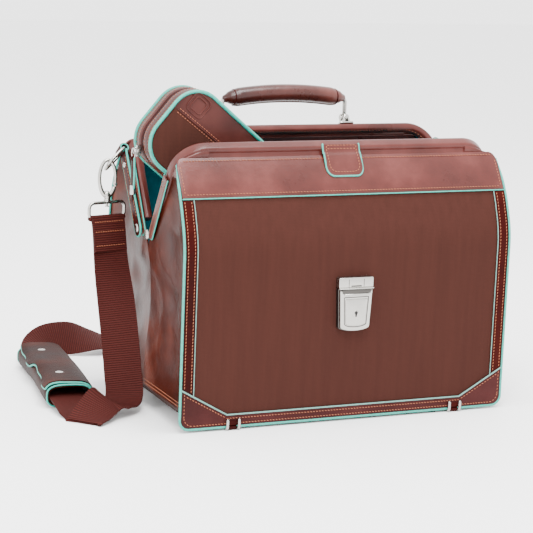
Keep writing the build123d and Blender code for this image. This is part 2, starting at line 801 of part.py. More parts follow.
span_total = sum(math.dist(ROUTE[i][0], ROUTE[i + 1][0]) for i in range(len(ROUTE) - 1))
print("webbing length", round(span_total), "width", WEB_W, "thickness", WEB_T)
web_volume = span_total * WEB_W * WEB_T
print("webbing volume", round(shoulder_strap.part.volume), "section x length", round(web_volume))

# Leather sleeve pad on the webbing, closed by a flap with two snaps
PAD_LENGTH = 194.0
PAD_MID = (-278.5, 108, 14.6)
PAD_ALONG = (0.124, 0.992, 0)
PAD_PLANE = Plane(origin=PAD_MID, x_dir=(0.992, -0.124, 0), z_dir=PAD_ALONG)
PAD_W = 56.0
PAD_H = 28.0

with BuildPart() as shoulder_pad:
    with BuildSketch(PAD_PLANE):
        RectangleRounded(PAD_W, PAD_H, 12)
        with Locations((0, 1.2)):
            RectangleRounded(46.4, 6.4, 2, mode=Mode.SUBTRACT)
    extrude(amount=PAD_LENGTH / 2, both=True)
save(shoulder_pad, "shoulder_pad")

with BuildPart() as pad_flap:
    with BuildSketch(PAD_PLANE):
        with Locations((5, -PAD_H / 2 - 1.1)):
            Rectangle(34, 1.6)
    extrude(amount=PAD_LENGTH / 2 - 2, both=True)
save(pad_flap, "pad_flap")

with BuildPart() as pad_snaps:
    for along in (-62, 62):
        with BuildSketch(Plane.XY.offset(PAD_MID[2] + PAD_H / 2 + 2.0)):
            with Locations((PAD_MID[0] + along * PAD_ALONG[0] + 3, PAD_MID[1] + along * PAD_ALONG[1])):
                Circle(6)
        extrude(amount=2)
save(pad_snaps, "pad_snaps")

SLIDER_PLANE = Plane(origin=(234, 71, 128), x_dir=(-0.975, 0.2, 0), z_dir=(-0.088, -0.221, 0.971))

with BuildPart() as strap_slider:
    with BuildSketch(SLIDER_PLANE):
        RectangleRounded(54, 10, 3)
        RectangleRounded(46.4, 4.0, 1, mode=Mode.SUBTRACT)
    extrude(amount=14, both=True)
save(strap_slider, "strap_slider")

# ---------------------------------------------------------------- zipped case

CASE_PLANE = Plane(
    origin=CASE_CENTRE,
    x_dir=(math.cos(math.radians(CASE_TILT)), 0, -math.sin(math.radians(CASE_TILT))),
    z_dir=(0, -1, 0),
)
CORD = 4.0

with BuildPart() as case_body:
    with BuildSketch(CASE_PLANE):
        RectangleRounded(CASE_L - CORD, CASE_W - CORD, CASE_R - CORD / 2)
    extrude(amount=CASE_HALF_T, both=True)
save(case_body, "case_body")

with BuildPart() as case_piping:
    for face_offset in (CASE_HALF_T + 0.1, -CASE_HALF_T - 0.1 - CORD):
        with BuildSketch(CASE_PLANE.offset(face_offset)):
            RectangleRounded(CASE_L, CASE_W, CASE_R)
            RectangleRounded(CASE_L - 2 * CORD, CASE_W - 2 * CORD, CASE_R - CORD, mode=Mode.SUBTRACT)
        extrude(amount=CORD)
save(case_piping, "case_piping")

with BuildPart() as case_panel:
    with BuildSketch(CASE_PLANE.offset(CASE_HALF_T + 0.1)):
        RectangleRounded(CASE_L - 2 * CORD - 0.4, CASE_W - 2 * CORD - 0.4, CASE_R - CORD)
        with Locations((0, -CASE_W / 2 + 8)):
            Rectangle(CASE_L, CASE_W, mode=Mode.SUBTRACT)
    extrude(amount=1.2)
save(case_panel, "case_panel")

# Zip slider on the end of the case, and the pull that hangs from its lug
PULL_X = -220.6
PULL_Y = 5.0
PULL_Z = 300.0
RING_HOLE_R = 5.0
RING_R = 6.6
RING_DROP = 3.0

with BuildPart() as zip_slider:
    with Locations((-215.4, PULL_Y, 303)):
        Box(4.0, 6.4, 10)
    with BuildSketch(Plane.YZ.offset(-217.4)):
        with Locations((PULL_Y, PULL_Z)):
            Circle(0.7)
    extrude(amount=PULL_X - 1.2 + 217.4)
save(zip_slider, "zip_slider")

with BuildPart() as zip_pull_ring:
    with BuildSketch(Plane.YZ.offset(PULL_X - 0.8)):
        with Locations((PULL_Y, PULL_Z - RING_DROP)):
            Circle(RING_R)
            Circle(RING_HOLE_R, mode=Mode.SUBTRACT)
    extrude(amount=1.6)
    with BuildSketch(Plane.XY.offset(249)):
        with Locations((PULL_X, PULL_Y)):
            Circle(2.9)
    extrude(amount=9.8)
save(zip_pull_ring, "zip_pull_ring")

with BuildPart() as zip_pull_tab:
    with Locations((PULL_X, PULL_Y, (259 + 290) / 2)):
        Box(2.4, 8.4, 290 - 259)
save(zip_pull_tab, "zip_pull_tab")
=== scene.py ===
import math
import bpy
import numpy as np
from mathutils import Vector, Matrix


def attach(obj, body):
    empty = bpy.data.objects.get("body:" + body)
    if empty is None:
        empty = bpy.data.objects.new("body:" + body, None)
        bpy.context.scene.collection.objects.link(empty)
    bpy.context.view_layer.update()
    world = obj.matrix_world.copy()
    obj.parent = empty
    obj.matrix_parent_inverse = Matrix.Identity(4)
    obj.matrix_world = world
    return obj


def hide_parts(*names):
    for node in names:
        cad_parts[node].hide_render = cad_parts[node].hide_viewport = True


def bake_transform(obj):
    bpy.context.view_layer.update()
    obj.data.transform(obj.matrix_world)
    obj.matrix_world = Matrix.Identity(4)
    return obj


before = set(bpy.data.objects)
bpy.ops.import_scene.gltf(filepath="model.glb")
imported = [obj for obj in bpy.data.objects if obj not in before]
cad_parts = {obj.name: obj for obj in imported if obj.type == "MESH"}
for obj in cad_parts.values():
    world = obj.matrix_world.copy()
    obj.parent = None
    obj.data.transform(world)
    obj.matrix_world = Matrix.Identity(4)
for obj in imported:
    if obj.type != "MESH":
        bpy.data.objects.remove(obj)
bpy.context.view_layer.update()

# Doctor bag. Points are written in millimetres in the row frame and scaled to metres when a mesh is made.
MM = 0.001
scene = bpy.context.scene


def V(*p):
    return np.array(p, float)


def unit(a):
    a = np.asarray(a, float)
    return a / np.maximum(np.linalg.norm(a, axis=-1, keepdims=True), 1e-9)


# ---------------------------------------------------------------- camera

azimuth, elevation, roll = (math.radians(a) for a in (-24.185, 11.226, 2.295))
back = V(math.sin(azimuth) * math.cos(elevation), -math.cos(azimuth) * math.cos(elevation),
         math.sin(elevation))
right = unit(np.cross((0, 0, 1), back))
up = np.cross(back, right)
cam_x = math.cos(roll) * right + math.sin(roll) * up
cam_y = -math.sin(roll) * right + math.cos(roll) * up
spot = (-40.453 * cam_x + 153.506 * cam_y + 2310.266 * back) * MM
cam = bpy.data.cameras.new("camera")
cam.sensor_width = 36
cam.lens = 128.33
cam.clip_end = 50
cam_obj = bpy.data.objects.new("camera", cam)
scene.collection.objects.link(cam_obj)
cam_obj.matrix_world = Matrix([[*row, t] for row, t in zip(np.stack([cam_x, cam_y, back], 1), spot)]
                              + [[0, 0, 0, 1]])
scene.camera = cam_obj

# ---------------------------------------------------------------- materials


DIM = 0.40
SATURATION = 1.25
SKY_STRENGTH = 3.2


def dim(c, k=DIM):
    """A colour darkened to suit the bright white studio, and a little more saturated."""
    c = np.asarray(c, float)
    grey = float(c.mean())
    return tuple(np.clip((grey + (c - grey) * SATURATION) * k, 0.0005, 1))


def put(n, **sockets):
    for k, v in sockets.items():
        n.inputs[k.replace("_", " ")].default_value = v
    return n


def add(t, kind, **sockets):
    return put(t.nodes.new(kind), **sockets)


def base_material(name, color, rough, metal=0.0, coat=0.0, spec=0.5):
    m = bpy.data.materials.new(name)
    m.use_nodes = True
    t = m.node_tree
    b = t.nodes["Principled BSDF"]
    put(b, Base_Color=(*color, 1), Roughness=rough, Metallic=metal, Coat_Weight=coat, Coat_Roughness=0.15,
        Specular_IOR_Level=spec)
    return m, t, b


def maths(t, kind, *values):
    """A math node's output: numbers are set and sockets are linked."""
    n = t.nodes.new("ShaderNodeMath")
    n.operation = kind
    for i, v in enumerate(values):
        if isinstance(v, float):
            n.inputs[i].default_value = v
        else:
            t.links.new(v, n.inputs[i])
    return n.outputs[0]


def coords(t, kind="Object", scale=(1, 1, 1)):
    c = t.nodes.new("ShaderNodeTexCoord")
    m = add(t, "ShaderNodeMapping", Scale=scale)
    t.links.new(c.outputs[kind], m.inputs["Vector"])
    return m.outputs["Vector"]


def ramp(t, value, stops):
    r = t.nodes.new("ShaderNodeValToRGB")
    e = r.color_ramp.elements
    while len(e) < len(stops):
        e.new(0.5)
    for el, (p, c) in zip(e, stops):
        el.position = p
        el.color = (*c, 1) if len(c) == 3 else c
    t.links.new(value, r.inputs["Fac"])
    return r.outputs["Color"]


def bump(t, b, height, strength, distance, normal=None):
    n = add(t, "ShaderNodeBump", Strength=strength, Distance=distance)
    t.links.new(height, n.inputs["Height"])
    if normal is not None:
        t.links.new(normal, n.inputs["Normal"])
    t.links.new(n.outputs["Normal"], b.inputs["Normal"])
    return n.outputs["Normal"]


def leather(name, dark, mid, light, rough, coat, grain=1.0, patch=14.0, spec=0.16):
    """Grained leather: pores, fine wrinkles, and a patchy pull-up tone."""
    dark, mid, light = dim(dark), dim(mid), dim(light)
    m, t, b = base_material(name, mid, rough, coat=coat, spec=spec)
    at = coords(t)
    tone = add(t, "ShaderNodeTexNoise", Scale=patch, Detail=5.0, Roughness=0.6)
    t.links.new(at, tone.inputs["Vector"])
    col = ramp(t, tone.outputs["Fac"], [(0.30, dark), (0.5, mid), (0.72, light)])
    t.links.new(col, b.inputs["Base Color"])
    rr = add(t, "ShaderNodeMapRange", To_Min=rough - 0.08, To_Max=rough + 0.12)
    t.links.new(tone.outputs["Fac"], rr.inputs["Value"])
    t.links.new(rr.outputs["Result"], b.inputs["Roughness"])
    pores = add(t, "ShaderNodeTexVoronoi", Scale=900.0 / grain)
    pores.feature = "DISTANCE_TO_EDGE"
    wrinkle = add(t, "ShaderNodeTexNoise", Scale=160.0, Detail=6.0, Roughness=0.62)
    for n in (pores, wrinkle):
        t.links.new(at, n.inputs["Vector"])
    first = bump(t, b, pores.outputs["Distance"], 0.18, 0.0006)
    bump(t, b, wrinkle.outputs["Fac"], 0.22, 0.0011, first)
    return m


def canvas(name, dark, light, scale=1.0, rough=0.85):
    """Fine plain weave with a slight slub."""
    dark, light = dim(dark), dim(light)
    m, t, b = base_material(name, light, rough, spec=0.08)
    at = coords(t)
    slub = add(t, "ShaderNodeTexNoise", Scale=150.0, Detail=6.0, Roughness=0.6)
    t.links.new(coords(t, scale=(1, 1, 0.06)), slub.inputs["Vector"])
    heights = []
    for spin in ("X", "Z"):
        w = add(t, "ShaderNodeTexWave", Scale=210.0 * scale, Distortion=0.35, Detail=1.0)
        w.bands_direction = spin
        w.inputs["Detail Scale"].default_value = 1.5
        t.links.new(at, w.inputs["Vector"])
        heights.append(w.outputs["Fac"])
    weave = maths(t, "MULTIPLY", *heights)
    mixed = maths(t, "MULTIPLY_ADD", weave, 0.42, slub.outputs["Fac"])
    col = ramp(t, mixed, [(0.05, dark), (1.0, light)])
    t.links.new(col, b.inputs["Base Color"])
    bump(t, b, weave, 0.35, 0.0004)
    return m


def metal(name, color, rough):
    m, t, b = base_material(name, color, rough, metal=1.0)
    at = coords(t, scale=(1, 1, 6))
    n = add(t, "ShaderNodeTexNoise", Scale=90.0, Detail=6.0)
    t.links.new(at, n.inputs["Vector"])
    r = add(t, "ShaderNodeMapRange", To_Min=rough - 0.06, To_Max=rough + 0.10)
    t.links.new(n.outputs["Fac"], r.inputs["Value"])
    t.links.new(r.outputs["Result"], b.inputs["Roughness"])
    bump(t, b, n.outputs["Fac"], 0.05, 0.0003)
    return m


def plain(name, color, rough, noise=0.15, scale=260.0):
    """Painted edges, thread and similar small matter, with a light mottling."""
    color = dim(color)
    m, t, b = base_material(name, color, rough)
    n = add(t, "ShaderNodeTexNoise", Scale=scale, Detail=3.0)
    t.links.new(coords(t), n.inputs["Vector"])
    col = ramp(t, n.outputs["Fac"], [(0.3, [c * (1 - noise) for c in color]),
                                     (0.7, [min(1, c * (1 + noise)) for c in color])])
    t.links.new(col, b.inputs["Base Color"])
    bump(t, b, n.outputs["Fac"], 0.15, 0.0004)
    return m


def ribbed(name, dark, light, across, rough=0.7):
    """Webbing: ribs across it from its UV map, with a fine thread texture."""
    dark, light = dim(dark), dim(light)
    m, t, b = base_material(name, light, rough, spec=0.1)
    uv = coords(t, "UV")
    w = add(t, "ShaderNodeTexWave", Scale=across, Distortion=0.25, Detail=1.0)
    w.bands_direction = "Y"
    t.links.new(uv, w.inputs["Vector"])
    fine = add(t, "ShaderNodeTexWave", Scale=across * 1.7, Distortion=0.6)
    fine.bands_direction = "X"
    t.links.new(uv, fine.inputs["Vector"])
    ribs = maths(t, "MULTIPLY_ADD", fine.outputs["Fac"], 0.25, w.outputs["Fac"])
    col = ramp(t, ribs, [(0.05, dark), (0.9, light)])
    t.links.new(col, b.inputs["Base Color"])
    bump(t, b, ribs, 0.6, 0.0008)
    return m


M = {
    "yoke": leather("yoke_leather", (0.095, 0.026, 0.022), (0.150, 0.042, 0.036),
                    (0.25, 0.080, 0.071), 0.28, 0.10, spec=0.20),
    "gusset": leather("gusset_leather", (0.030, 0.006, 0.004), (0.075, 0.017, 0.011),
                      (0.20, 0.058, 0.040), 0.30, 0.0, patch=13.0, spec=0.14),
    "strip": leather("strip_leather", (0.028, 0.004, 0.003), (0.048, 0.006, 0.004),
                     (0.080, 0.013, 0.009), 0.42, 0.0, spec=0.05),
    "band": leather("band_leather", (0.058, 0.017, 0.016), (0.082, 0.025, 0.024),
                    (0.110, 0.036, 0.034), 0.46, 0.0, spec=0.07),
    "grip": leather("grip_leather", (0.050, 0.013, 0.010), (0.100, 0.027, 0.021),
                    (0.20, 0.066, 0.054), 0.26, 0.05, patch=20.0, spec=0.30),
    "pad": leather("pad_leather", (0.016, 0.004, 0.003), (0.038, 0.011, 0.008),
                   (0.085, 0.029, 0.022), 0.42, 0.0, patch=24.0, spec=0.02),
    "case": leather("case_leather", (0.062, 0.018, 0.015), (0.096, 0.029, 0.025),
                    (0.15, 0.050, 0.043), 0.30, 0.03, spec=0.14),
    "canvas": canvas("canvas", (0.063, 0.024, 0.019), (0.092, 0.035, 0.028)),
    "case_canvas": canvas("case_canvas", (0.060, 0.025, 0.020), (0.108, 0.042, 0.033)),
    "lining": canvas("lining", (0.0, 0.30, 0.38), (0.0, 0.62, 0.72), 0.8, 0.7),
    "base": canvas("base_fabric", (0.03, 0.018, 0.015), (0.075, 0.045, 0.038), 0.7),
    "edge": plain("edge_paint", (0.10, 0.60, 0.49), 0.5),
    "edge_pale": plain("edge_pale", (0.28, 0.52, 0.46), 0.5),
    "thread": plain("thread", (0.50, 0.17, 0.09), 0.6),
    "thread_dark": plain("thread_dark", (0.50, 0.17, 0.10), 0.6),
    "nickel": metal("nickel", (0.40, 0.385, 0.36), 0.22),
    # painted shade: dark nickel stands for the shade in the lock's rim, grooves, slot and recess
    "nickel_dark": metal("nickel_dark", (0.075, 0.070, 0.065), 0.34),
    "steel": metal("steel", (0.45, 0.45, 0.46), 0.42),
    # painted shade: near-black standing for the shade inside the pad sleeve and in the keyhole
    "painted_shade_black": plain("dark_inside", (0.008, 0.006, 0.006), 0.8),
    "board": plain("board", (0.040, 0.016, 0.012), 0.8),
    "web": ribbed("webbing", (0.030, 0.006, 0.005), (0.105, 0.024, 0.020), 120.0),
    "zip": ribbed("zip_tape", (0.03, 0.008, 0.007), (0.10, 0.028, 0.022), 160.0),
}

# ---------------------------------------------------------------- mesh helpers


def make(name, verts, faces, mat, sharp=38, indices=None, uvs=None):
    """A mesh object from millimetre points. mat is a key of M, or several with face indices."""
    mats = [mat] if isinstance(mat, str) else list(mat)
    me = bpy.data.meshes.new(name)
    me.from_pydata((np.asarray(verts, float) * MM).tolist(), [], faces)
    for k in mats:
        me.materials.append(M[k])
    if indices is not None:
        me.polygons.foreach_set("material_index", np.asarray(indices, np.int32))
    if uvs is not None:
        layer = me.uv_layers.new(name="UVMap")
        loops = np.empty(len(me.loops), np.int32)
        me.loops.foreach_get("vertex_index", loops)
        layer.data.foreach_set("uv", (np.asarray(uvs, float)[loops] * MM).astype(np.float32).ravel())
    me.polygons.foreach_set("use_smooth", [True] * len(me.polygons))
    me.update()
    me.set_sharp_from_angle(angle=math.radians(sharp))
    ob = bpy.data.objects.new(name, me)
    scene.collection.objects.link(ob)
    return ob


def travel(pts):
    """Distance along a path at each of its points."""
    return np.concatenate([[0], np.cumsum(np.linalg.norm(np.diff(pts, axis=0), axis=1))])


def between(at, s, pts):
    """Points at the distances at, where s is the distance at each of pts."""
    return np.stack([np.interp(at, s, pts[:, i]) for i in range(3)], 1)


def quads(n, m, closed=False, start=0):
    """Faces between m rings of n points each, the first point being number start."""
    out = []
    for j in range(m if closed else m - 1):
        for i in range(n):
            a, b = start + j * n, start + ((j + 1) % m) * n
            out.append((a + i, a + (i + 1) % n, b + (i + 1) % n, b + i))
    return out


def bunched(n):
    """n positions from 0 to 1, packed more closely towards both ends."""
    return (np.sin(np.linspace(-1, 1, n) * math.pi / 2) + 1) / 2


def lay(f, us, vs):
    return np.array([[f(u, v) for u in us] for v in vs], float)


def sheet(name, f, nu, nv, thick, mat, inner=None, flip=False, us=None, vs=None, sharp=38, round_rim=0.0):
    """A closed sheet. f(u, v) is its outer face, and the inner face lies thick behind it."""
    us = np.linspace(0, 1, nu + 1) if us is None else np.asarray(us)
    vs = np.linspace(0, 1, nv + 1) if vs is None else np.asarray(vs)
    P = lay(f, us, vs)
    rows, cols = P.shape[:2]
    n = unit(np.cross(np.gradient(P, axis=1), np.gradient(P, axis=0)))
    if flip:
        n = -n
    if round_rim:
        P = P.copy()
        for sl in (np.s_[0, :], np.s_[-1, :], np.s_[:, 0], np.s_[:, -1]):
            P[sl] -= n[sl] * round_rim
    Q = P - n * thick
    verts = np.concatenate([P.reshape(-1, 3), Q.reshape(-1, 3)])
    N = rows * cols
    faces, idx = [], []

    def quad(a, b, c, d, k):
        faces.append((a, b, c, d) if not flip else (d, c, b, a))
        idx.append(k)

    second = 1 if inner else 0
    for j in range(rows - 1):
        for i in range(cols - 1):
            a = j * cols + i
            quad(a, a + 1, a + cols + 1, a + cols, 0)
            quad(N + a + cols, N + a + cols + 1, N + a + 1, N + a, second)
    for i in range(cols - 1):
        quad(i, N + i, N + i + 1, i + 1, 0)
        a = (rows - 1) * cols + i
        quad(a + 1, N + a + 1, N + a, a, 0)
    for j in range(rows - 1):
        a = j * cols
        quad(a + cols, N + a + cols, N + a, a, 0)
        a = j * cols + cols - 1
        quad(a, N + a, N + a + cols, a + cols, 0)
    su = travel(P[rows // 2])
    sv = travel(P[:, cols // 2])
    uv = np.stack(np.broadcast_arrays(su[None, :], sv[:, None]), -1).reshape(-1, 2)
    mats = [mat, inner] if inner else mat
    return make(name, verts, faces, mats, sharp, idx, np.concatenate([uv, uv]))


def resample(pts, step, closed=False):
    pts = np.asarray(pts, float)
    if closed:
        pts = np.vstack([pts, pts[:1]])
    s = travel(pts)
    k = max(int(round(s[-1] / step)), 2)
    at = np.linspace(0, s[-1], k + 1)
    out = between(at, s, pts)
    return out[:-1] if closed else out


def smooth_path(pts, per=8, closed=False):
    """Catmull-Rom curve through the points, which are roughly evenly spaced."""
    pts = np.asarray(pts, float)
    n = len(pts)
    out = []
    for i in range(n if closed else n - 1):
        p0 = pts[(i - 1) % n] if closed or i else 2 * pts[0] - pts[1]
        p1, p2 = pts[i % n], pts[(i + 1) % n]
        p3 = pts[(i + 2) % n] if closed or i + 2 < n else 2 * pts[-1] - pts[-2]
        for t in np.arange(per) / per:
            out.append(0.5 * (2 * p1 + (p2 - p0) * t + (2 * p0 - 5 * p1 + 4 * p2 - p3) * t ** 2
                              + (3 * p1 - p0 - 3 * p2 + p3) * t ** 3))
    if not closed:
        out.append(pts[-1])
    return np.array(out)


def frames(pts, closed=False, first=None):
    """Tangents and two normals carried along a path without twist."""
    pts = np.asarray(pts, float)
    if closed:
        t = unit(np.roll(pts, -1, 0) - np.roll(pts, 1, 0))
    else:
        t = unit(np.gradient(pts, axis=0))
    a = first if first is not None else (V(0, 0, 1) if abs(t[0][2]) < 0.9 else V(1, 0, 0))
    a = unit(a - t[0] * np.dot(a, t[0]))
    A = [a]
    for i in range(1, len(pts)):
        a = unit(A[-1] - t[i] * np.dot(A[-1], t[i]))
        A.append(a)
    A = np.array(A)
    return t, A, np.cross(t, A)


def tube(name, pts, r, mat, closed=False, n=10, flat=1.0, first=None, sharp=60):
    """A round cord along a path. r is one radius or one per point; flat squeezes its first normal."""
    pts = np.asarray(pts, float)
    r = np.broadcast_to(np.asarray(r, float), (len(pts),)).copy()
    if not closed:
        t = unit(np.gradient(pts, axis=0))
        head = [(pts[0] - t[0] * r[0] * k, r[0] * q) for k, q in ((0.95, 0.3), (0.7, 0.7))]
        tail = [(pts[-1] + t[-1] * r[-1] * k, r[-1] * q) for k, q in ((0.7, 0.7), (0.95, 0.3))]
        pts = np.vstack([[p for p, _ in head], pts, [p for p, _ in tail]])
        r = np.concatenate([[q for _, q in head], r, [q for _, q in tail]])
    t, A, B = frames(pts, closed, first)
    ang = np.arange(n) * 2 * math.pi / n
    ring = (np.cos(ang)[None, :, None] * A[:, None, :] * flat + np.sin(ang)[None, :, None] * B[:, None, :])
    verts = (pts[:, None, :] + ring * r[:, None, None]).reshape(-1, 3)
    m = len(pts)
    faces = quads(n, m, closed)
    if not closed:
        faces.append(tuple(range(n))[::-1])
        faces.append(tuple(range((m - 1) * n, m * n)))
    s = travel(pts)
    uv = np.stack(np.broadcast_arrays(ang[None, :] * float(r.mean()), s[:, None]), -1).reshape(-1, 2)
    return make(name, verts, faces, mat, sharp, uvs=uv)


def sweep(name, pts, prof, mat, normal, closed=False, sharp=50):
    """A closed profile of (sideways, along normal) points carried along a path that lies in a plane."""
    pts = np.asarray(pts, float)
    if closed:
        t = unit(np.roll(pts, -1, 0) - np.roll(pts, 1, 0))
    else:
        t = unit(np.gradient(pts, axis=0))
    nn = np.broadcast_to(np.asarray(normal, float), pts.shape)
    nn = unit(nn - t * (t * nn).sum(1)[:, None])
    side = np.cross(t, nn)
    prof = np.asarray(prof, float)
    verts = pts[:, None] + side[:, None] * prof[None, :, :1] + nn[:, None] * prof[None, :, 1:2]
    verts = verts.reshape(-1, 3)
    n, m = len(prof), len(pts)
    faces = [q[::-1] for q in quads(n, m, closed)]
    if not closed:
        faces.append(tuple(range(n)))
        faces.append(tuple(range((m - 1) * n, m * n))[::-1])
    return make(name, verts, faces, mat, sharp)


def round_rect(w, h, r, n=6, cx=0.0, cy=0.0):
    """Corner points of a rounded rectangle, anticlockwise."""
    out = []
    for sx, sy, a0 in ((1, 1, 0), (-1, 1, 90), (-1, -1, 180), (1, -1, 270)):
        for k in range(n + 1):
            a = math.radians(a0 + 90 * k / n)
            out.append((cx + sx * (w / 2 - r) + r * math.cos(a), cy + sy * (h / 2 - r) + r * math.sin(a)))
    return np.array(out)


def lathe(name, centre, axis, prof, mat, n=24, sharp=40):
    """A turned piece: prof is (radius, height) along the axis."""
    axis = unit(V(*axis))
    a = unit(np.cross(axis, V(0, 0, 1) if abs(axis[2]) < 0.9 else V(1, 0, 0)))
    b = np.cross(axis, a)
    ang = np.arange(n) * 2 * math.pi / n
    prof = np.asarray(prof, float)
    verts = (np.asarray(centre, float) + prof[:, None, :1]
             * (np.cos(ang)[None, :, None] * a + np.sin(ang)[None, :, None] * b)
             + prof[:, None, 1:2] * axis).reshape(-1, 3)
    faces = quads(n, len(prof))
    faces.append(tuple(range(n))[::-1])
    faces.append(tuple(range((len(prof) - 1) * n, len(prof) * n)))
    return make(name, verts, faces, mat, sharp)


def dome(name, centre, axis, r, h, mat="nickel", base=0.6):
    prof = [(r * 0.97, 0), (r, base * 0.5), (r * 0.97, base)]
    prof += [(r * 0.97 * math.cos(a), base + (h - base) * math.sin(a)) for a in np.linspace(0.25, 1.45, 6)]
    return lathe(name, centre, axis, prof, mat)


def stitches(name, runs, mat="thread", gap=3.7, length=2.5, r=0.42, slant=0.16):
    """Saddle stitches: short round threads laid end to end along each run of (points, normals)."""
    rings = [(-0.5, 0.45, -0.3), (-0.34, 1.0, 0.35), (0.34, 1.0, 0.35), (0.5, 0.45, -0.3)]
    ang = np.arange(6) * math.pi / 3
    verts, faces = [], []
    for pts, nrm in runs:
        pts = np.asarray(pts, float)
        nrm = np.broadcast_to(np.asarray(nrm, float), pts.shape)
        s = travel(pts)
        k = int(s[-1] // gap)
        if k < 1:
            continue
        at = (np.arange(k) + 0.5) * s[-1] / k
        P = between(at, s, pts)
        P2 = between(np.minimum(at + 0.8, s[-1]), s, pts)
        P1 = between(np.maximum(at - 0.8, 0), s, pts)
        T = unit(P2 - P1)
        N = between(at, s, nrm)
        N = unit(N - T * (T * N).sum(1)[:, None])
        S = np.cross(T, N)
        D = unit(T + slant * S)
        S = np.cross(D, N)
        for j in range(k):
            o = len(verts)
            for t, q, h in rings:
                c = P[j] + D[j] * t * length + N[j] * h * r
                for a in ang:
                    verts.append(c + (S[j] * math.cos(a) + N[j] * math.sin(a) * 0.8) * r * q)
            for b in range(3):
                for i in range(6):
                    faces.append((o + b * 6 + i, o + b * 6 + (i + 1) % 6, o + b * 6 + 6 + (i + 1) % 6,
                                  o + b * 6 + 6 + i))
            faces.append(tuple(o + i for i in range(6))[::-1])
            faces.append(tuple(o + 18 + i for i in range(6)))
    return make(name, verts, faces, mat, 60)


def ride(body, *objs):
    for o in objs:
        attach(o, body)


def bend(frame_body, *objs):
    for o in objs:
        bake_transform(o)


def join(name, objs):
    """One object from several: the first one is kept and given the name."""
    for o in bpy.context.selected_objects:
        o.select_set(False)
    for o in objs:
        o.select_set(True)
    bpy.context.view_layer.objects.active = objs[0]
    bpy.ops.object.join()
    objs[0].name = name
    return objs[0]


def noise3(p, scale, seed=0.0):
    """Smooth value in about -1..1 from a few sines, for soft folds."""
    x, y, z = (c / scale for c in p)
    return (math.sin(1.3 * x + 2.1 * y + seed) * math.cos(1.7 * z - 0.6 * y + 1.3 * seed)
            + 0.5 * math.sin(2.9 * z + 1.1 * x + 2.3 * seed) * math.cos(2.3 * y + seed)) / 1.5


# ---------------------------------------------------------------- shape of the bag

HW, HD = 205.0, 125.0
HINGE_Z = 203
YOKE_LOW = 261.5


def raw_y(z):
    if z <= 215:
        return HD
    if z <= 262:
        return HD + (108 - HD) * (z - 215) / 47
    return 108 + (80 - 108) * (z - 262) / 42


def wall(z):
    return sum(raw_y(z + d) for d in (-15, -10, -5, 0, 5, 10, 15)) / 7


def wall_n(z, s):
    """Outward normal of the front (s = -1) or back (s = 1) at a height."""
    slope = (wall(z + 2) - wall(z - 2)) / 4
    return unit(V(0, s, -slope))


def on_wall(x, z, s, off=0.0):
    return V(x, s * wall(z), z) + wall_n(z, s) * off


def hem(x):
    """Lowest z of the panel, with its rounded bottom corners."""
    d = abs(x) - (HW - 11)
    return 4.0 if d <= 0 else 15 - math.sqrt(max(121 - d * d, 0))


def band_top(x):
    return 18.0 if abs(x) <= 149 else 18 + 32 * (abs(x) - 149) / 56


def yoke_top(x):
    d = abs(x) - (203 - 9)
    return 303.0 if d <= 0 else 294 + math.sqrt(max(81 - d * d, 0))


TILT = math.radians(30.5)
SIDES = ((-1, "left"), (1, "right"))


def in_frame(along, out, s=-1):
    """(y, z) in a frame half: s = -1 is the front."""
    y = -along * math.sin(TILT) - out * math.cos(TILT)
    return (-y if s > 0 else y, HINGE_Z + along * math.cos(TILT) - out * math.sin(TILT))


def frame_out(s):
    return V(0, s * math.cos(TILT), -math.sin(TILT))


def pt_frame(x, along, out, s):
    y, z = in_frame(along, out, s)
    return V(x, y, z)


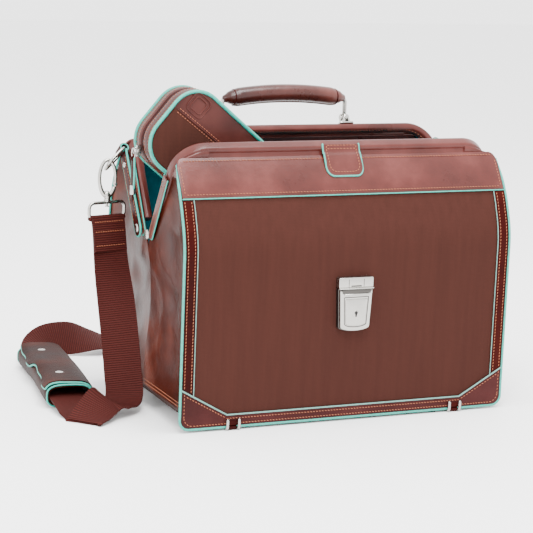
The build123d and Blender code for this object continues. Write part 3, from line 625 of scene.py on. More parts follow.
for s, side, fb in ((-1, "front", "front_frame"), (1, "back", "back_frame")):
    flip = s > 0

    # Canvas of the panel, up to under the yoke

    def canvas_f(u, v):
        x = -191 + 382 * u
        low = band_top(x) - 3
        z = low + (266 - low) * v
        swell = 0.9 * math.sin(math.pi * u) * math.sin(math.pi * v) + 0.35 * noise3((x, 0, z), 60, s)
        return on_wall(x, z, s, -0.9 + swell * 0.8)

    panel = sheet(f"{side}_canvas", canvas_f, 60, 60, 1.2, "canvas", flip=flip)
    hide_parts(f"{side}_fabric", f"{side}_upper_fabric")
    bend(fb, panel)

    # Leather strips up the sides
    strips = []
    for sx in (-1, 1):
        def strip_f(u, v, sx=sx):
            x = sx * (190.2 + 14.4 * (u if sx > 0 else 1 - u))
            low = band_top(x) - 2
            z = low + (264 - low) * v
            puff = 0.55 * math.sin(math.pi * min(max(u, 0.02), 0.98)) ** 0.5
            return on_wall(x, z, s, 0.2 + puff)

        strips.append(sheet(f"{side}_strip", strip_f, 8, 60, 2.0, "strip", flip=flip))
    strips = join(f"{side}_side_strips", strips)
    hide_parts(f"{side}_strips", f"{side}_upper_strips")
    bend(fb, strips)

    # Bottom band with its corner patches
    def band_f(u, v):
        x = HW * math.sin((u * 2 - 1) * math.pi / 2) * 0.998
        low, top = hem(x), band_top(x)
        z = low + (top - low) * v
        puff = 0.8 * (math.sin(math.pi * v) ** 0.5) * min(1, (HW - abs(x)) / 4)
        return on_wall(x, z, s, 0.5 + puff)

    band = sheet(f"{side}_band", band_f, 90, 10, 2.6, "band", flip=flip)
    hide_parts(f"{side}_bottom_band")
    ride("bag_body", band)

    # Yoke
    def yoke_f(u, v):
        x = 203.4 * math.sin((u * 2 - 1) * math.pi / 2)
        top = yoke_top(x)
        z = YOKE_LOW + (top - YOKE_LOW) * v
        edge = min(1, (204 - abs(x)) / 10)
        puff = 1.6 * (math.sin(math.pi * min(v, 0.97)) ** 0.6) * edge ** 0.5
        puff += 0.35 * noise3((x, 0, z), 45, 2 + s)
        return on_wall(x, z, s, 0.7 + puff)

    yoke = sheet(f"{side}_yoke_leather", yoke_f, 90, 22, 2.6, "yoke", flip=flip, round_rim=0.5)
    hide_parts(f"{side}_yoke")
    ride(fb, yoke)

    # Turquoise piping down the sides and round the hem, and edge paint along each leather edge
    half = [(203.6, 296), (204.6, 285), (205.2, 270)] + [(205.6, z) for z in range(255, 15, -6)]
    arc = [(194.5 + 11.2 * math.cos(a), 15 - 11.2 * math.sin(a)) for a in np.linspace(0.05, math.pi / 2, 8)]
    right_half = half + arc
    outline = right_half + [(x, 3.8) for x in range(186, -187, -12)]
    outline += [(-x, z) for x, z in reversed(right_half)]
    outline = resample([on_wall(x, z, s, 0.3) for x, z in outline], 3.0)
    taper = np.clip(np.minimum(np.arange(len(outline)), np.arange(len(outline))[::-1]) / 8.0, 0.35, 1)
    pipe = tube(f"{side}_piping", outline, 1.45 * taper, "edge")
    bend(fb, pipe)
    if s < 0:
        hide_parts("piping")
    lines = [tube(f"{side}_line", [on_wall(x, 261.2, s, 1.3) for x in np.linspace(-203, 203, 60)],
                  0.75, "edge", n=8)]
    for sx in (-1, 1):
        lines.append(tube(f"{side}_line", [on_wall(sx * 189.9, z, s, 0.3)
                                           for z in np.linspace(band_top(190), 261, 70)],
                          0.6, "edge_pale", n=8))
    lines.append(tube(f"{side}_line", [on_wall(x, band_top(x), s, 0.9) for x in
            np.concatenate([np.linspace(-204, -149, 14), np.linspace(-148, 148, 40),
                            np.linspace(149, 204, 14)])], 0.95, "edge_pale", n=8))
    lines = join(f"{side}_edge_lines", lines)
    bend(fb, lines)

    # Stitching
    runs = []
    for sx in (-1, 1):
        for x in (193.2, 201.2):
            pts = [on_wall(sx * x, z, s, 0.75) for z in np.linspace(band_top(x) + 3, 259, 60)]
            runs.append((pts, [wall_n(z, s) for z in np.linspace(band_top(x) + 3, 259, 60)]))
        pts = [on_wall(sx * 201, z, s, 1.0) for z in np.linspace(46, 17, 16)]
        runs.append((pts, wall_n(30, s)))
        pts = [on_wall(sx * x, band_top(x) - 4.2, s, 1.35) for x in np.linspace(199, 151, 26)]
        runs.append((pts, wall_n(30, s)))
        pts = [on_wall(sx * (190.5 + 10.5 * math.cos(a)), 18.5 - 10.5 * math.sin(a), s, 1.1)
               for a in np.linspace(0, math.pi / 2, 8)]
        runs.append((pts, wall_n(10, s)))
    for z, x1 in ((13.8, 150), (8.0, 190)):
        runs.append(([on_wall(x, z, s, 1.25) for x in np.linspace(-x1, x1, 60)], wall_n(10, s)))
    sewn = stitches(f"{side}_panel_stitches", runs)
    bend(fb, sewn)
    runs = []
    zs = np.linspace(266, 294, 16)
    for sx in (-1, 1):
        runs.append(([on_wall(sx * 199.8, z, s, 1.7) for z in zs], [wall_n(z, s) for z in zs]))
    runs.append(([on_wall(x, 265.2, s, 1.75) for x in np.linspace(-198, 198, 90)], wall_n(265, s)))
    runs.append(([on_wall(x, 299.3, s, 2.0) for x in np.linspace(-196, 196, 90)], wall_n(299, s)))
    sewn = stitches(f"{side}_yoke_stitches", runs)
    ride(fb, sewn)

    # Leather-covered mouth frame
    path = [(-196.5, a) for a in np.linspace(22, 92, 16)]
    path += [(-163 - 33.5 * math.cos(a), 98 + 33.5 * math.sin(a)) for a in np.linspace(0, math.pi / 2, 16)]
    path += [(x, 131.5) for x in np.linspace(-158, 158, 44)]
    path += [(163 + 33.5 * math.sin(a), 98 + 33.5 * math.cos(a)) for a in np.linspace(0, math.pi / 2, 16)]
    path += [(196.5, a) for a in np.linspace(92, 22, 16)]
    P = np.array([pt_frame(x, a, 7.5, s) for x, a in path])
    prof = round_rect(9.4, 14.4, 3.6, 5)
    if s > 0:
        prof = prof[::-1]
    cover = sweep(f"{side}_frame_leather", P, prof, "yoke", frame_out(s))
    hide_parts(f"{side}_frame_cover", f"{side}_frame_bar")
    ride(fb, cover)
    inner = np.array([pt_frame(x * 0.975, a * 0.97 - 0.5, 3.2, s) for x, a in path[18:-18]])
    seam = stitches(f"{side}_frame_stitches", [(inner, V(0, 0, -1))], "thread_dark", gap=4.2)
    ride(fb, seam)

    # Leather roll between the frame and the yoke, and round its corners
    def roll_f(u, v):
        x = -166 + 332 * u
        a0 = pt_frame(x, 133.6, 14.2, s)
        b0 = on_wall(x, 303.4, s, -0.6)
        p = a0 + (b0 - a0) * v
        return p + frame_out(s) * (-1.6 * math.sin(math.pi * v)) + V(0, 0, -0.8 * math.sin(math.pi * v))

    roll = sheet(f"{side}_roll", roll_f, 50, 6, 1.0, "yoke", flip=not flip)
    ride(fb, roll)
    corners = []
    for sx in (-1, 1):
        def corner_f(u, v, sx=sx):
            turn = 0.5 * math.pi * u
            a0 = pt_frame(sx * (163 + 36.5 * math.sin(turn)), 98 + 36.0 * math.cos(turn), 13.6, s)
            x = 163 + 40.2 * math.sin(turn) ** 0.8
            b0 = on_wall(sx * x, min(yoke_top(x), 303.4 - 22 * max(0, u - 0.6) / 0.4) + 0.3, s, -0.5)
            puff = math.sin(math.pi * v)
            return a0 + (b0 - a0) * v + frame_out(s) * (1.2 * puff) + V(0, 0, puff)

        corners.append(sheet(f"{side}_corner", corner_f, 18, 8, 1.2, "yoke",
                             flip=(flip if sx < 0 else not flip)))
    corners = join(f"{side}_roll_corners", corners)
    ride(fb, corners)

    # Soft gussets: halves from the centre crease and frame leg out to the panel edge
    for sx, gname in SIDES:
        pairs_a = [(204.0, 0.2 * s, 26), (201.0, 0.2 * s, 70), (197.0, 0.2 * s, 115), (197.5, 0.2 * s, 155),
                   (201.2, 0.4 * s, 184)]
        for a in (4, 18, 36, 58, 78, 94):
            y, z = in_frame(a, 6.5, s)
            pairs_a.append((202.0, y, z))
        for ang in (0.35, 0.7, 1.0):
            y, z = in_frame(98 + 37 * math.sin(ang), 8.5 + 4 * ang / 1.5, s)
            pairs_a.append((163 + 38 * math.cos(ang), y, z))
        zb = [25.5, 65, 105, 140, 170, 192, 210, 228, 245, 260, 272, 282, 290, 297]
        pairs_b = [(204.2, s * (wall(z) - 1.6), z) for z in zb]
        pairs_b[-1] = (202.6, s * (wall(297) - 1.5), 297)
        A = smooth_path(pairs_a, 6)
        B = smooth_path(pairs_b, 6)
        tt = np.linspace(0, 1, len(A))

        def gusset_f(u, v, A=A, B=B, tt=tt, sx=sx):
            a = V(*[np.interp(v, tt, A[:, i]) for i in range(3)])
            b = V(*[np.interp(v, tt, B[:, i]) for i in range(3)])
            p = a + (b - a) * u
            mid = math.sin(math.pi * u)
            low = min(1, v / 0.12)
            z, y = p[2], p[1]
            open_part = min(max((z - 190) / 60, 0), 1)
            sink = mid * (3.0 + 5.5 * open_part) * low
            fold = mid * low * (2.6 * math.sin((y * s * 0.7 + z * 0.9) / 15.0 + 0.6 * s) * (1 - open_part)
                                + 1.8 * noise3(p, 24, s + sx) + 1.4 * math.sin(z / 19 + y / 31.0))
            x = p[0] - sink - abs(fold) * 0.8 + fold * 0.2
            return V(sx * min(x, 204.4), p[1], p[2])

        gus = sheet(f"{side}_gusset_{gname}", gusset_f, 26, 96, 1.6, "gusset", inner="lining",
                    flip=(sx * s < 0))
        rep = [f"{side}_gusset_flaps"] if sx < 0 else []
        if s < 0:
            rep.append(f"gusset_{gname}")
        if rep:
            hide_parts(*rep)
        bend(fb, gus)

        # Facing strip down the outside of each frame leg, with painted edges
        def ear_f(u, v, sx=sx):
            tip = 9 - 9 * math.sqrt(max(1 - ((u - 0.5) * 2) ** 2, 0)) * 0.6
            a = 2 + tip * 0.5 + (92 - 2 - tip * 0.5) * v
            y, z = in_frame(a, 3.4 + 12.1 * u, s)
            return V(sx * (204.0 + 0.6 * math.sin(math.pi * u)), y, z)

        ear = sheet(f"{side}_ear_{gname}", ear_f, 8, 40, 1.8, "yoke", flip=(sx * s < 0))
        rim = [ear_f(0, v) for v in np.linspace(1, 0, 30)] + [ear_f(u, 0) for u in np.linspace(0.05, 1, 10)]
        rim += [ear_f(1, v) for v in np.linspace(0.03, 1, 30)]
        rim = tube(f"{side}_ear_edge_{gname}", [p - V(sx * 0.9, 0, 0) for p in rim], 0.9, "edge", n=8)
        sew = []
        for uu in (0.18, 0.82):
            sew.append(([ear_f(uu, v) for v in np.linspace(0.06, 0.97, 30)], V(sx, 0, 0)))
        sew = stitches(f"{side}_ear_stitches_{gname}", sew)
        ride(fb, ear, rim, sew)

    # Lining inside the panel
    def lin_f(u, v):
        z = 27.5 + (292 - 27.5) * v
        x = (199 - 17 * max(0, (z - 255) / 37) ** 2) * (2 * u - 1)
        return on_wall(x, z, s, -5.9 - 0.5 * math.sin(math.pi * v) + 0.4 * noise3((x, 0, z), 40, s))

    lin = sheet(f"{side}_lining_cloth", lin_f, 40, 60, 0.9, "lining", flip=flip)
    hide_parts(f"{side}_upper_lining", *(["lining"] if s < 0 else []))
    bend(fb, lin)

rows = []
for sx in (-1, 1):
    for z in (29.5, 33.5):
        for y0, y1 in ((-118, -4), (4, 118)):
            rows.append(([(sx * 204.3, y, z) for y in np.linspace(y0, y1, 40)], V(sx, 0, 0)))
foot_sewn = stitches("gusset_foot_stitches", rows)
ride("bag_body", foot_sewn)

# Inner pocket on the back lining, and the side and floor lining


def pocket_f(u, v):
    x = -150 + 300 * u
    z = 62 + 88 * v
    return V(x, 118.2 - 2.6 * math.sin(math.pi * v) ** 0.6 - 1.6 * abs(math.sin(2 * math.pi * u)) * v, z)


pocket = sheet("slip_pocket", pocket_f, 60, 20, 0.9, "lining")
pocket_edge = tube("slip_pocket_edge", [pocket_f(u, 1.0) for u in np.linspace(0, 1, 60)], 1.0, "strip", n=8)
floor_lin = sheet("floor_lining", lambda u, v: V(-200 + 400 * u, -117 + 234 * v,
                                                 27.4 + 0.5 * noise3((u * 400, v * 240, 0), 45)),
                  40, 24, 0.9, "lining")
for sx, gname in SIDES:
    sl = sheet(f"side_lining_{gname}",
            lambda u, v, sx=sx: V(sx * (192.5 + 0.8 * noise3((0, u * 200, v * 130), 40, sx)), -116 + 232 * u,
                                  28 + 122 * v), 24, 20, 0.8, "lining", flip=sx > 0)
    ride("bag_body", sl)
ride("bag_body", pocket, pocket_edge, floor_lin)

# ---------------------------------------------------------------- base and skids

under = sheet("base_cloth", lambda u, v: V(-202 + 404 * u, -119 + 238 * v,
                                           20.6 - 0.5 * noise3((u * 400, v * 240, 0), 50)),
              30, 20, 1.6, "base", flip=True)
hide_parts("base_cover")
ride("bag_body", under)
for node in ("base_board", "front_board", "back_board"):
    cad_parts[node].data.materials.clear()
    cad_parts[node].data.materials.append(M["board"])
BOX_FACES = [(0, 1, 2, 3), (7, 6, 5, 4), (0, 4, 5, 1), (1, 5, 6, 2), (2, 6, 7, 3), (3, 7, 4, 0)]
runners = []
for sx in (-142, 142):
    path = [(-127.3, 11.5), (-127.6, 5), (-126.5, 1.6),
            (-122, 0.9)] + [(y, 0.9) for y in np.linspace(-112, 112, 12)]
    path += [(122, 0.9), (126.5, 1.6), (127.6, 5), (127.3, 11.5)]
    P = smooth_path([(sx, y, z) for y, z in path], 4)
    runners.append(sweep("runner", P, round_rect(9.8, 1.8, 0.7, 3), "strip",
                         V(0, 0, 1) * np.ones((len(P), 1)) + 0.001))
    box = [(y, z) for y, z in ((-117, 2.0), (117, 2.0), (117, 19.6), (-117, 19.6))]
    verts = [(sx + dx, y, z) for dx in (-4.9, 4.9) for y, z in box]
    runners.append(make("runner", verts, BOX_FACES,
                        "strip"))
runners = join("skid_leather", runners)
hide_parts("skid_runners")
ride("bag_body", runners)
wires = []
for sx in (-149, -135, 135, 149):
    path = [(-129.2, 12.0), (-129.2, 5.6)] + [(-125.4 - 3.8 * math.cos(a), 5.6 - 3.8 * math.sin(a))
                                              for a in (0.4, 0.8, 1.2, 1.5)]
    path += [(y, 1.8) for y in np.linspace(-120, 120, 20)]
    path += [(125.4 + 3.8 * math.sin(a), 5.6 - 3.8 * math.cos(a))
             for a in (0.1, 0.4, 0.8, 1.2)] + [(129.2, 5.6), (129.2, 12.0)]
    wires.append(tube("wire", [(sx, y, z) for y, z in path], 1.8, "nickel", n=12))
wires = join("skid_rods", wires)
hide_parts("skid_wires")
ride("bag_body", wires)

# ---------------------------------------------------------------- lock


def plate(name, outline, y_back, y_front, mat, bevel=0.8, steps=3):
    """A plate facing the front: outline is (x, z); its front edge is rounded by bevel."""
    outline = np.asarray(outline, float)
    t = unit(np.roll(outline, -1, 0) - np.roll(outline, 1, 0))
    inward = np.stack([-t[:, 1], t[:, 0]], 1)
    area = 0.5 * np.sum(outline[:, 0] * np.roll(outline[:, 1], -1) - np.roll(outline[:, 0], -1)
                        * outline[:, 1])
    inward = inward if area > 0 else -inward
    layers = [(0, y_back)]
    for k in range(steps + 1):
        a = math.pi / 2 * k / steps
        layers.append((bevel * (1 - math.cos(a)), y_front + bevel * (1 - math.sin(a))))
    verts = []
    n = len(outline)
    for d, y in layers:
        ring = outline + inward * d
        verts += [(x, y, z) for x, z in ring]
    faces = [q if area > 0 else q[::-1] for q in quads(n, len(layers))]
    faces.append(tuple(range(n))[::-1] if area > 0 else tuple(range(n)))
    last = tuple((len(layers) - 1) * n + i for i in range(n))
    faces.append(last if area > 0 else last[::-1])
    return make(name, verts, faces, mat, 30)


LX = 2.3


def lock_outline(w_top, w_low, z_top, z_low, belly):
    pts = [(LX + w_top, z_top), (LX - w_top, z_top), (LX - w_low, z_low + belly)]
    pts += [(LX - w_low * math.cos(a), z_low + belly * (1 - math.sin(a)))
            for a in np.linspace(0.12, math.pi - 0.12, 21)]
    pts += [(LX + w_low, z_low + belly)]
    return resample([(x, 0, z) for x, z in pts], 1.0, closed=True)[:, [0, 2]]


# The back shell is dark nickel, so its rim round the body shows as painted shade
backp = plate("lock_back_shell", lock_outline(21.6, 19.4, 157.4, 107.0, 5.2), -125.2, -130.6,
              "nickel_dark", 0.8)
shell = plate("lock_shell", lock_outline(20.6, 18.4, 155.6, 108.0, 5.0), -130.4, -134.6, "nickel", 1.5, 5)
lip = plate("lock_lip", round_rect(43.6, 12.4, 1.6, 4, LX, 164.0), -125.2, -133.4, "nickel", 1.3, 4)
hood = plate("lock_hood", round_rect(43.8, 1.8, 0.8, 3, LX, 157.6), -125.2, -134.9, "nickel", 0.6, 3)
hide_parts("lock_frame", "lock_body")
grooves = []
# Outline groove in dark nickel: painted shade in the groove
frame_line = lock_outline(15.4, 13.6, 147.6, 113.0, 3.6)
grooves.append(tube("groove", [(x, -134.62, z) for x, z in frame_line], 0.55, "nickel_dark",
                    closed=True, n=8))
pan = plate("lock_panel", lock_outline(14.2, 12.4, 145.6, 114.2, 3.2), -133.5, -135.5, "nickel", 0.9, 4)
bar = tube("lock_bar", [(LX - 14.6, -135.0, 150.6), (LX + 14.6, -135.0, 150.6)], 1.3, "nickel", n=12)
# Recess plate in dark nickel: painted shade in the gap under the lip
shade = plate("lock_recess", round_rect(36, 4.6, 1.0, 3, LX, 154.0), -134.2, -134.75, "nickel_dark", 0.1, 2)
# Slot and lip lines in dark nickel: painted shade in the slot and grooves
grooves.append(tube("groove", [(LX - 6, -133.5, 160.3), (LX + 6, -133.5, 160.3)], 0.75, "nickel_dark", n=8))
for gx in (-9.5, 9.5):
    grooves.append(tube("groove", [(LX + gx, -133.45, 159.5), (LX + gx, -133.45, 168.0)], 0.35,
                        "nickel_dark", n=6))
grooves = join("lock_grooves", grooves)
slide = plate("lock_slide_cap", round_rect(25.4, 3.0, 0.9, 4, LX, 156.1), -128.2, -133.2, "nickel", 0.7, 3)
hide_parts("lock_slide")
ride("lock_slide", slide)
cyl = lathe("lock_core", (LX, -135.1, 128), (0, -1, 0),
            [(4.4, -4), (4.4, 0.35), (4.2, 0.62), (3.6, 0.72), (0.01, 0.74)], "nickel", 32)
# Keyhole: a near-black plate, painted shade in the hole
hole = plate("lock_keyhole",
        resample([(LX + 2.1 * math.sin(a), 0, 129.4 + 2.1 * math.cos(a)) for a in np.linspace(-2.6, 2.6, 20)]
                 + [(LX + 1.0, 0, 124.9), (LX - 1.0, 0, 124.9)], 0.4, closed=True)[:, [0, 2]],
             -135.7, -135.92, "painted_shade_black", 0.05, 1)
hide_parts("lock_cylinder")
ride("lock_cylinder", cyl, hole)
ride("bag_body", backp, shell, lip, hood, grooves, pan, bar, shade)
inside_plate = plate("lock_inner_plate", round_rect(42, 61, 4, 5, LX, 138.5), -118.9, -119.5, "steel", 0.2, 2)
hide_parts("lock_backplate")
ride("bag_body", inside_plate)

# ---------------------------------------------------------------- pull tab and closing strap


def tab_f(u, v):
    w = 22.9
    x = -w + 2 * w * u
    r = 9
    low = 279.4
    d = abs(x) - (w - r)
    zl = low if d <= 0 else low + r - math.sqrt(max(r * r - d * d, 0))
    z = zl + (313.2 - zl) * v
    return on_wall(x, z, -1, 4.0 + 1.2 * math.sin(math.pi * v)) if z < 304 else \
        on_wall(x, 304, -1, 4.0) + V(0, 3.0 * (z - 304) / 9, z - 304)


us = bunched(27)
tab = sheet("tab_leather", tab_f, 26, 16, 2.0, "yoke", us=us)
rim = [tab_f(0, v) for v in np.linspace(1, 0, 20)] + [tab_f(u, 0) for u in us[1:-1]] + [tab_f(1, v)
        for v in np.linspace(0, 1, 20)]
rim = tube("tab_edge", resample([p + V(0, 0.9, 0) for p in rim], 1.5), 1.15, "edge", n=8)
run = [tab_f(0.09, v) for v in np.linspace(0.97, 0.34, 14)]
run += [tab_f(0.5 + 0.41 * math.sin(a), 0.13 + 0.20 * (1 - math.cos(a)) ** 2)
        for a in np.linspace(-1.4, 1.4, 30)]
run += [tab_f(0.91, v) for v in np.linspace(0.34, 0.97, 14)]
sew = stitches("tab_stitches", [(resample([p + V(0, -0.15, 0) for p in run], 1.0), wall_n(290, -1)),
        ([tab_f(u, 0.86) + V(0, -0.1, 0) for u in np.linspace(0.1, 0.9, 20)], wall_n(300, -1)),
        ([tab_f(u, 0.97) + V(0, -0.1, 0) for u in np.linspace(0.1, 0.9, 20)], wall_n(300, -1))])
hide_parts("pull_tab")
ride("tab", tab, rim, sew)

closer_line = smooth_path([(0, 84.9, 315.4), (0, 98.8, 290), (0, 112.2, 263), (0, 123.6, 238),
                           (0, 130.9, 214), (0, 131.6, 185), (0, 131.0, 150), (0, 130.1, 106)], 8)


def closer_f(u, v):
    k = v * (len(closer_line) - 1)
    i = min(int(k), len(closer_line) - 2)
    p = closer_line[i] + (closer_line[i + 1] - closer_line[i]) * (k - i)
    w = 16.6 if v < 0.95 else 16.6 * math.sqrt(max(1 - ((v - 0.95) / 0.06) ** 2, 0.2))
    return V(p[0] - w + 2 * w * u, p[1] + 0.9 + 0.5 * math.sin(math.pi * u), p[2])


strap_b = sheet("closing_leather", closer_f, 10, 60, 2.4, "strip")
rim = [closer_f(0, v) for v in np.linspace(0, 1, 50)] + [closer_f(u, 1) for u in (0.25, 0.5, 0.75)]
rim += [closer_f(1, v) for v in np.linspace(1, 0, 50)]
rim = tube("closing_edge", resample([p - V(0, 1.2, 0) for p in rim], 3), 1.2, "edge", n=8)
sew = stitches("closing_stitches", [([closer_f(uu, v) for v in np.linspace(0.02, 0.97, 60)], V(0, 1, 0.1))
                                    for uu in (0.12, 0.88)])
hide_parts("closing_strap")
ride("closing_strap", strap_b, rim, sew)
hp = plate("hasp_plate", round_rect(30, 30, 4, 5, 0, 122), -131.5, -133.2, "nickel", 0.7, 3)
hp.data.transform(Matrix.Scale(-1, 4, (0, 1, 0)))
hp.data.flip_normals()
loop = tube("hasp_loop",
        smooth_path([(-6, 132.4, 122), (-6, 134.9, 122), (-4, 135.7, 122), (4, 135.7, 122), (6, 134.9, 122),
                     (6, 132.4, 122)], 4), 1.5, "nickel")
riv = [dome("hasp_rivet", (x, 133.0, z), (0, 1, 0), 2.2, 1.2) for x in (-10.5, 10.5) for z in (111.5, 132.5)]
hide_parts("hasp")
ride("closing_strap", hp, loop, join("hasp_rivets", riv))

# ---------------------------------------------------------------- handle


GRIP_Y, POST_X = 80.56, 82


def grip_line(t):
    x = -76 + 152 * t
    return V(x, GRIP_Y, 350.2 + 6.4 * (1 - ((x / 76) ** 2)))


def grip_r(t):
    e = min(t, 1 - t)
    return 6.2 + 5.2 * min(1, (e / 0.10)) ** 0.55


G = np.array([grip_line(t) for t in np.linspace(0, 1, 70)])
R = np.array([grip_r(t) for t in np.linspace(0, 1, 70)])
grip = tube("grip_leather", G, R, "grip", n=28, flat=0.92, first=V(0, 0, 1))
seam = tube("grip_seam", [grip_line(t) - V(0, 0, grip_r(t) * 0.93) for t in np.linspace(0.05, 0.95, 60)],
            1.3, "grip", n=8)
sew = stitches("grip_stitches",
               [([grip_line(t) + V(0, d * 4.4, -grip_r(t) * 0.82) for t in np.linspace(0.06, 0.94, 60)],
                 V(0, d * 0.5, -0.9)) for d in (-1, 1)])
rings = [tube("grip_ring",
              [grip_line(t) + V(0, (grip_r(t) + 0.1) * math.cos(a), (grip_r(t) * 0.92 + 0.1) * math.sin(a))
               for a in np.linspace(0, 2 * math.pi, 28)[:-1]], 0.8, "strip", closed=True, n=8)
         for t in (0.055, 0.945)]
rings = join("grip_rings", rings)
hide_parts("handle_grip")
ride("handle", grip, seam, sew, rings)
ends = []
for sx in (-1, 1):
    ends.append(tube("link",
            smooth_path([(sx * 70, GRIP_Y, 351.0), (sx * 77, GRIP_Y, 350.4), (sx * 81.6, GRIP_Y, 346),
                         (sx * POST_X, GRIP_Y, 339), (sx * POST_X, GRIP_Y, 331)], 6), 2.7, "nickel", n=12))
    t = lathe("link", (sx * POST_X - 2.1, GRIP_Y, 325), (1, 0, 0),
              [(3.1, 0), (5.4, 0), (5.9, 0.8), (5.9, 3.4), (5.4, 4.2), (3.1, 4.2)], "nickel", 28)
    ends.append(t)
ends = join("handle_links", ends)
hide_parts("handle_core")
ride("handle", ends)
brk = []
for sx in (-1, 1):
    for ear in (-1, 1):
        x = sx * POST_X + ear * 3.3
        prof = smooth_path([pt_frame(0, 136.6, 1.2, 1), pt_frame(0, 144, 2.2, 1), pt_frame(0, 150, 5.2, 1),
                            pt_frame(0, 150.4, 9.4, 1),
                            pt_frame(0, 144, 12.8, 1), pt_frame(0, 136.6, 13.8, 1)], 5)
        n = len(prof)
        verts = [(x - 1, p[1], p[2]) for p in prof] + [(x + 1, p[1], p[2]) for p in prof]
        faces = [tuple(range(n)), tuple(range(n, 2 * n))[::-1]] + [(i, n + i, n + (i + 1) % n, (i + 1) % n)
                                                                   for i in range(n)]
        faces = [f[::-1] for f in faces]
        brk.append(make("bracket", verts, faces, "nickel", 30))
    brk.append(lathe("bracket", (sx * POST_X - 5.4, GRIP_Y, 325), (1, 0, 0),
                     [(0.01, -0.6), (3.4, -0.2), (3.6, 0.4), (2.9, 0.8), (2.9, 10),
                      (3.6, 10.4), (3.4, 11), (0.01, 11.4)], "nickel", 24))
    foot = [pt_frame(sx * POST_X + x, 136.9, 7.5 + z, 1) for x, z in round_rect(19, 13.4, 3, 4)]
    foot2 = [p + V(0, math.sin(TILT), math.cos(TILT)) * 1.6 for p in foot]
    n = len(foot)
    brk.append(make("bracket", foot + foot2, [tuple(range(n))[::-1], tuple(range(n, 2 * n))]
                    + [(i, (i + 1) % n, n + (i + 1) % n, n + i) for i in range(n)], "nickel", 30))
brk = join("handle_brackets_metal", brk)
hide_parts("handle_brackets")
ride("back_frame", brk)

# ---------------------------------------------------------------- anchors, D-rings, snap hooks

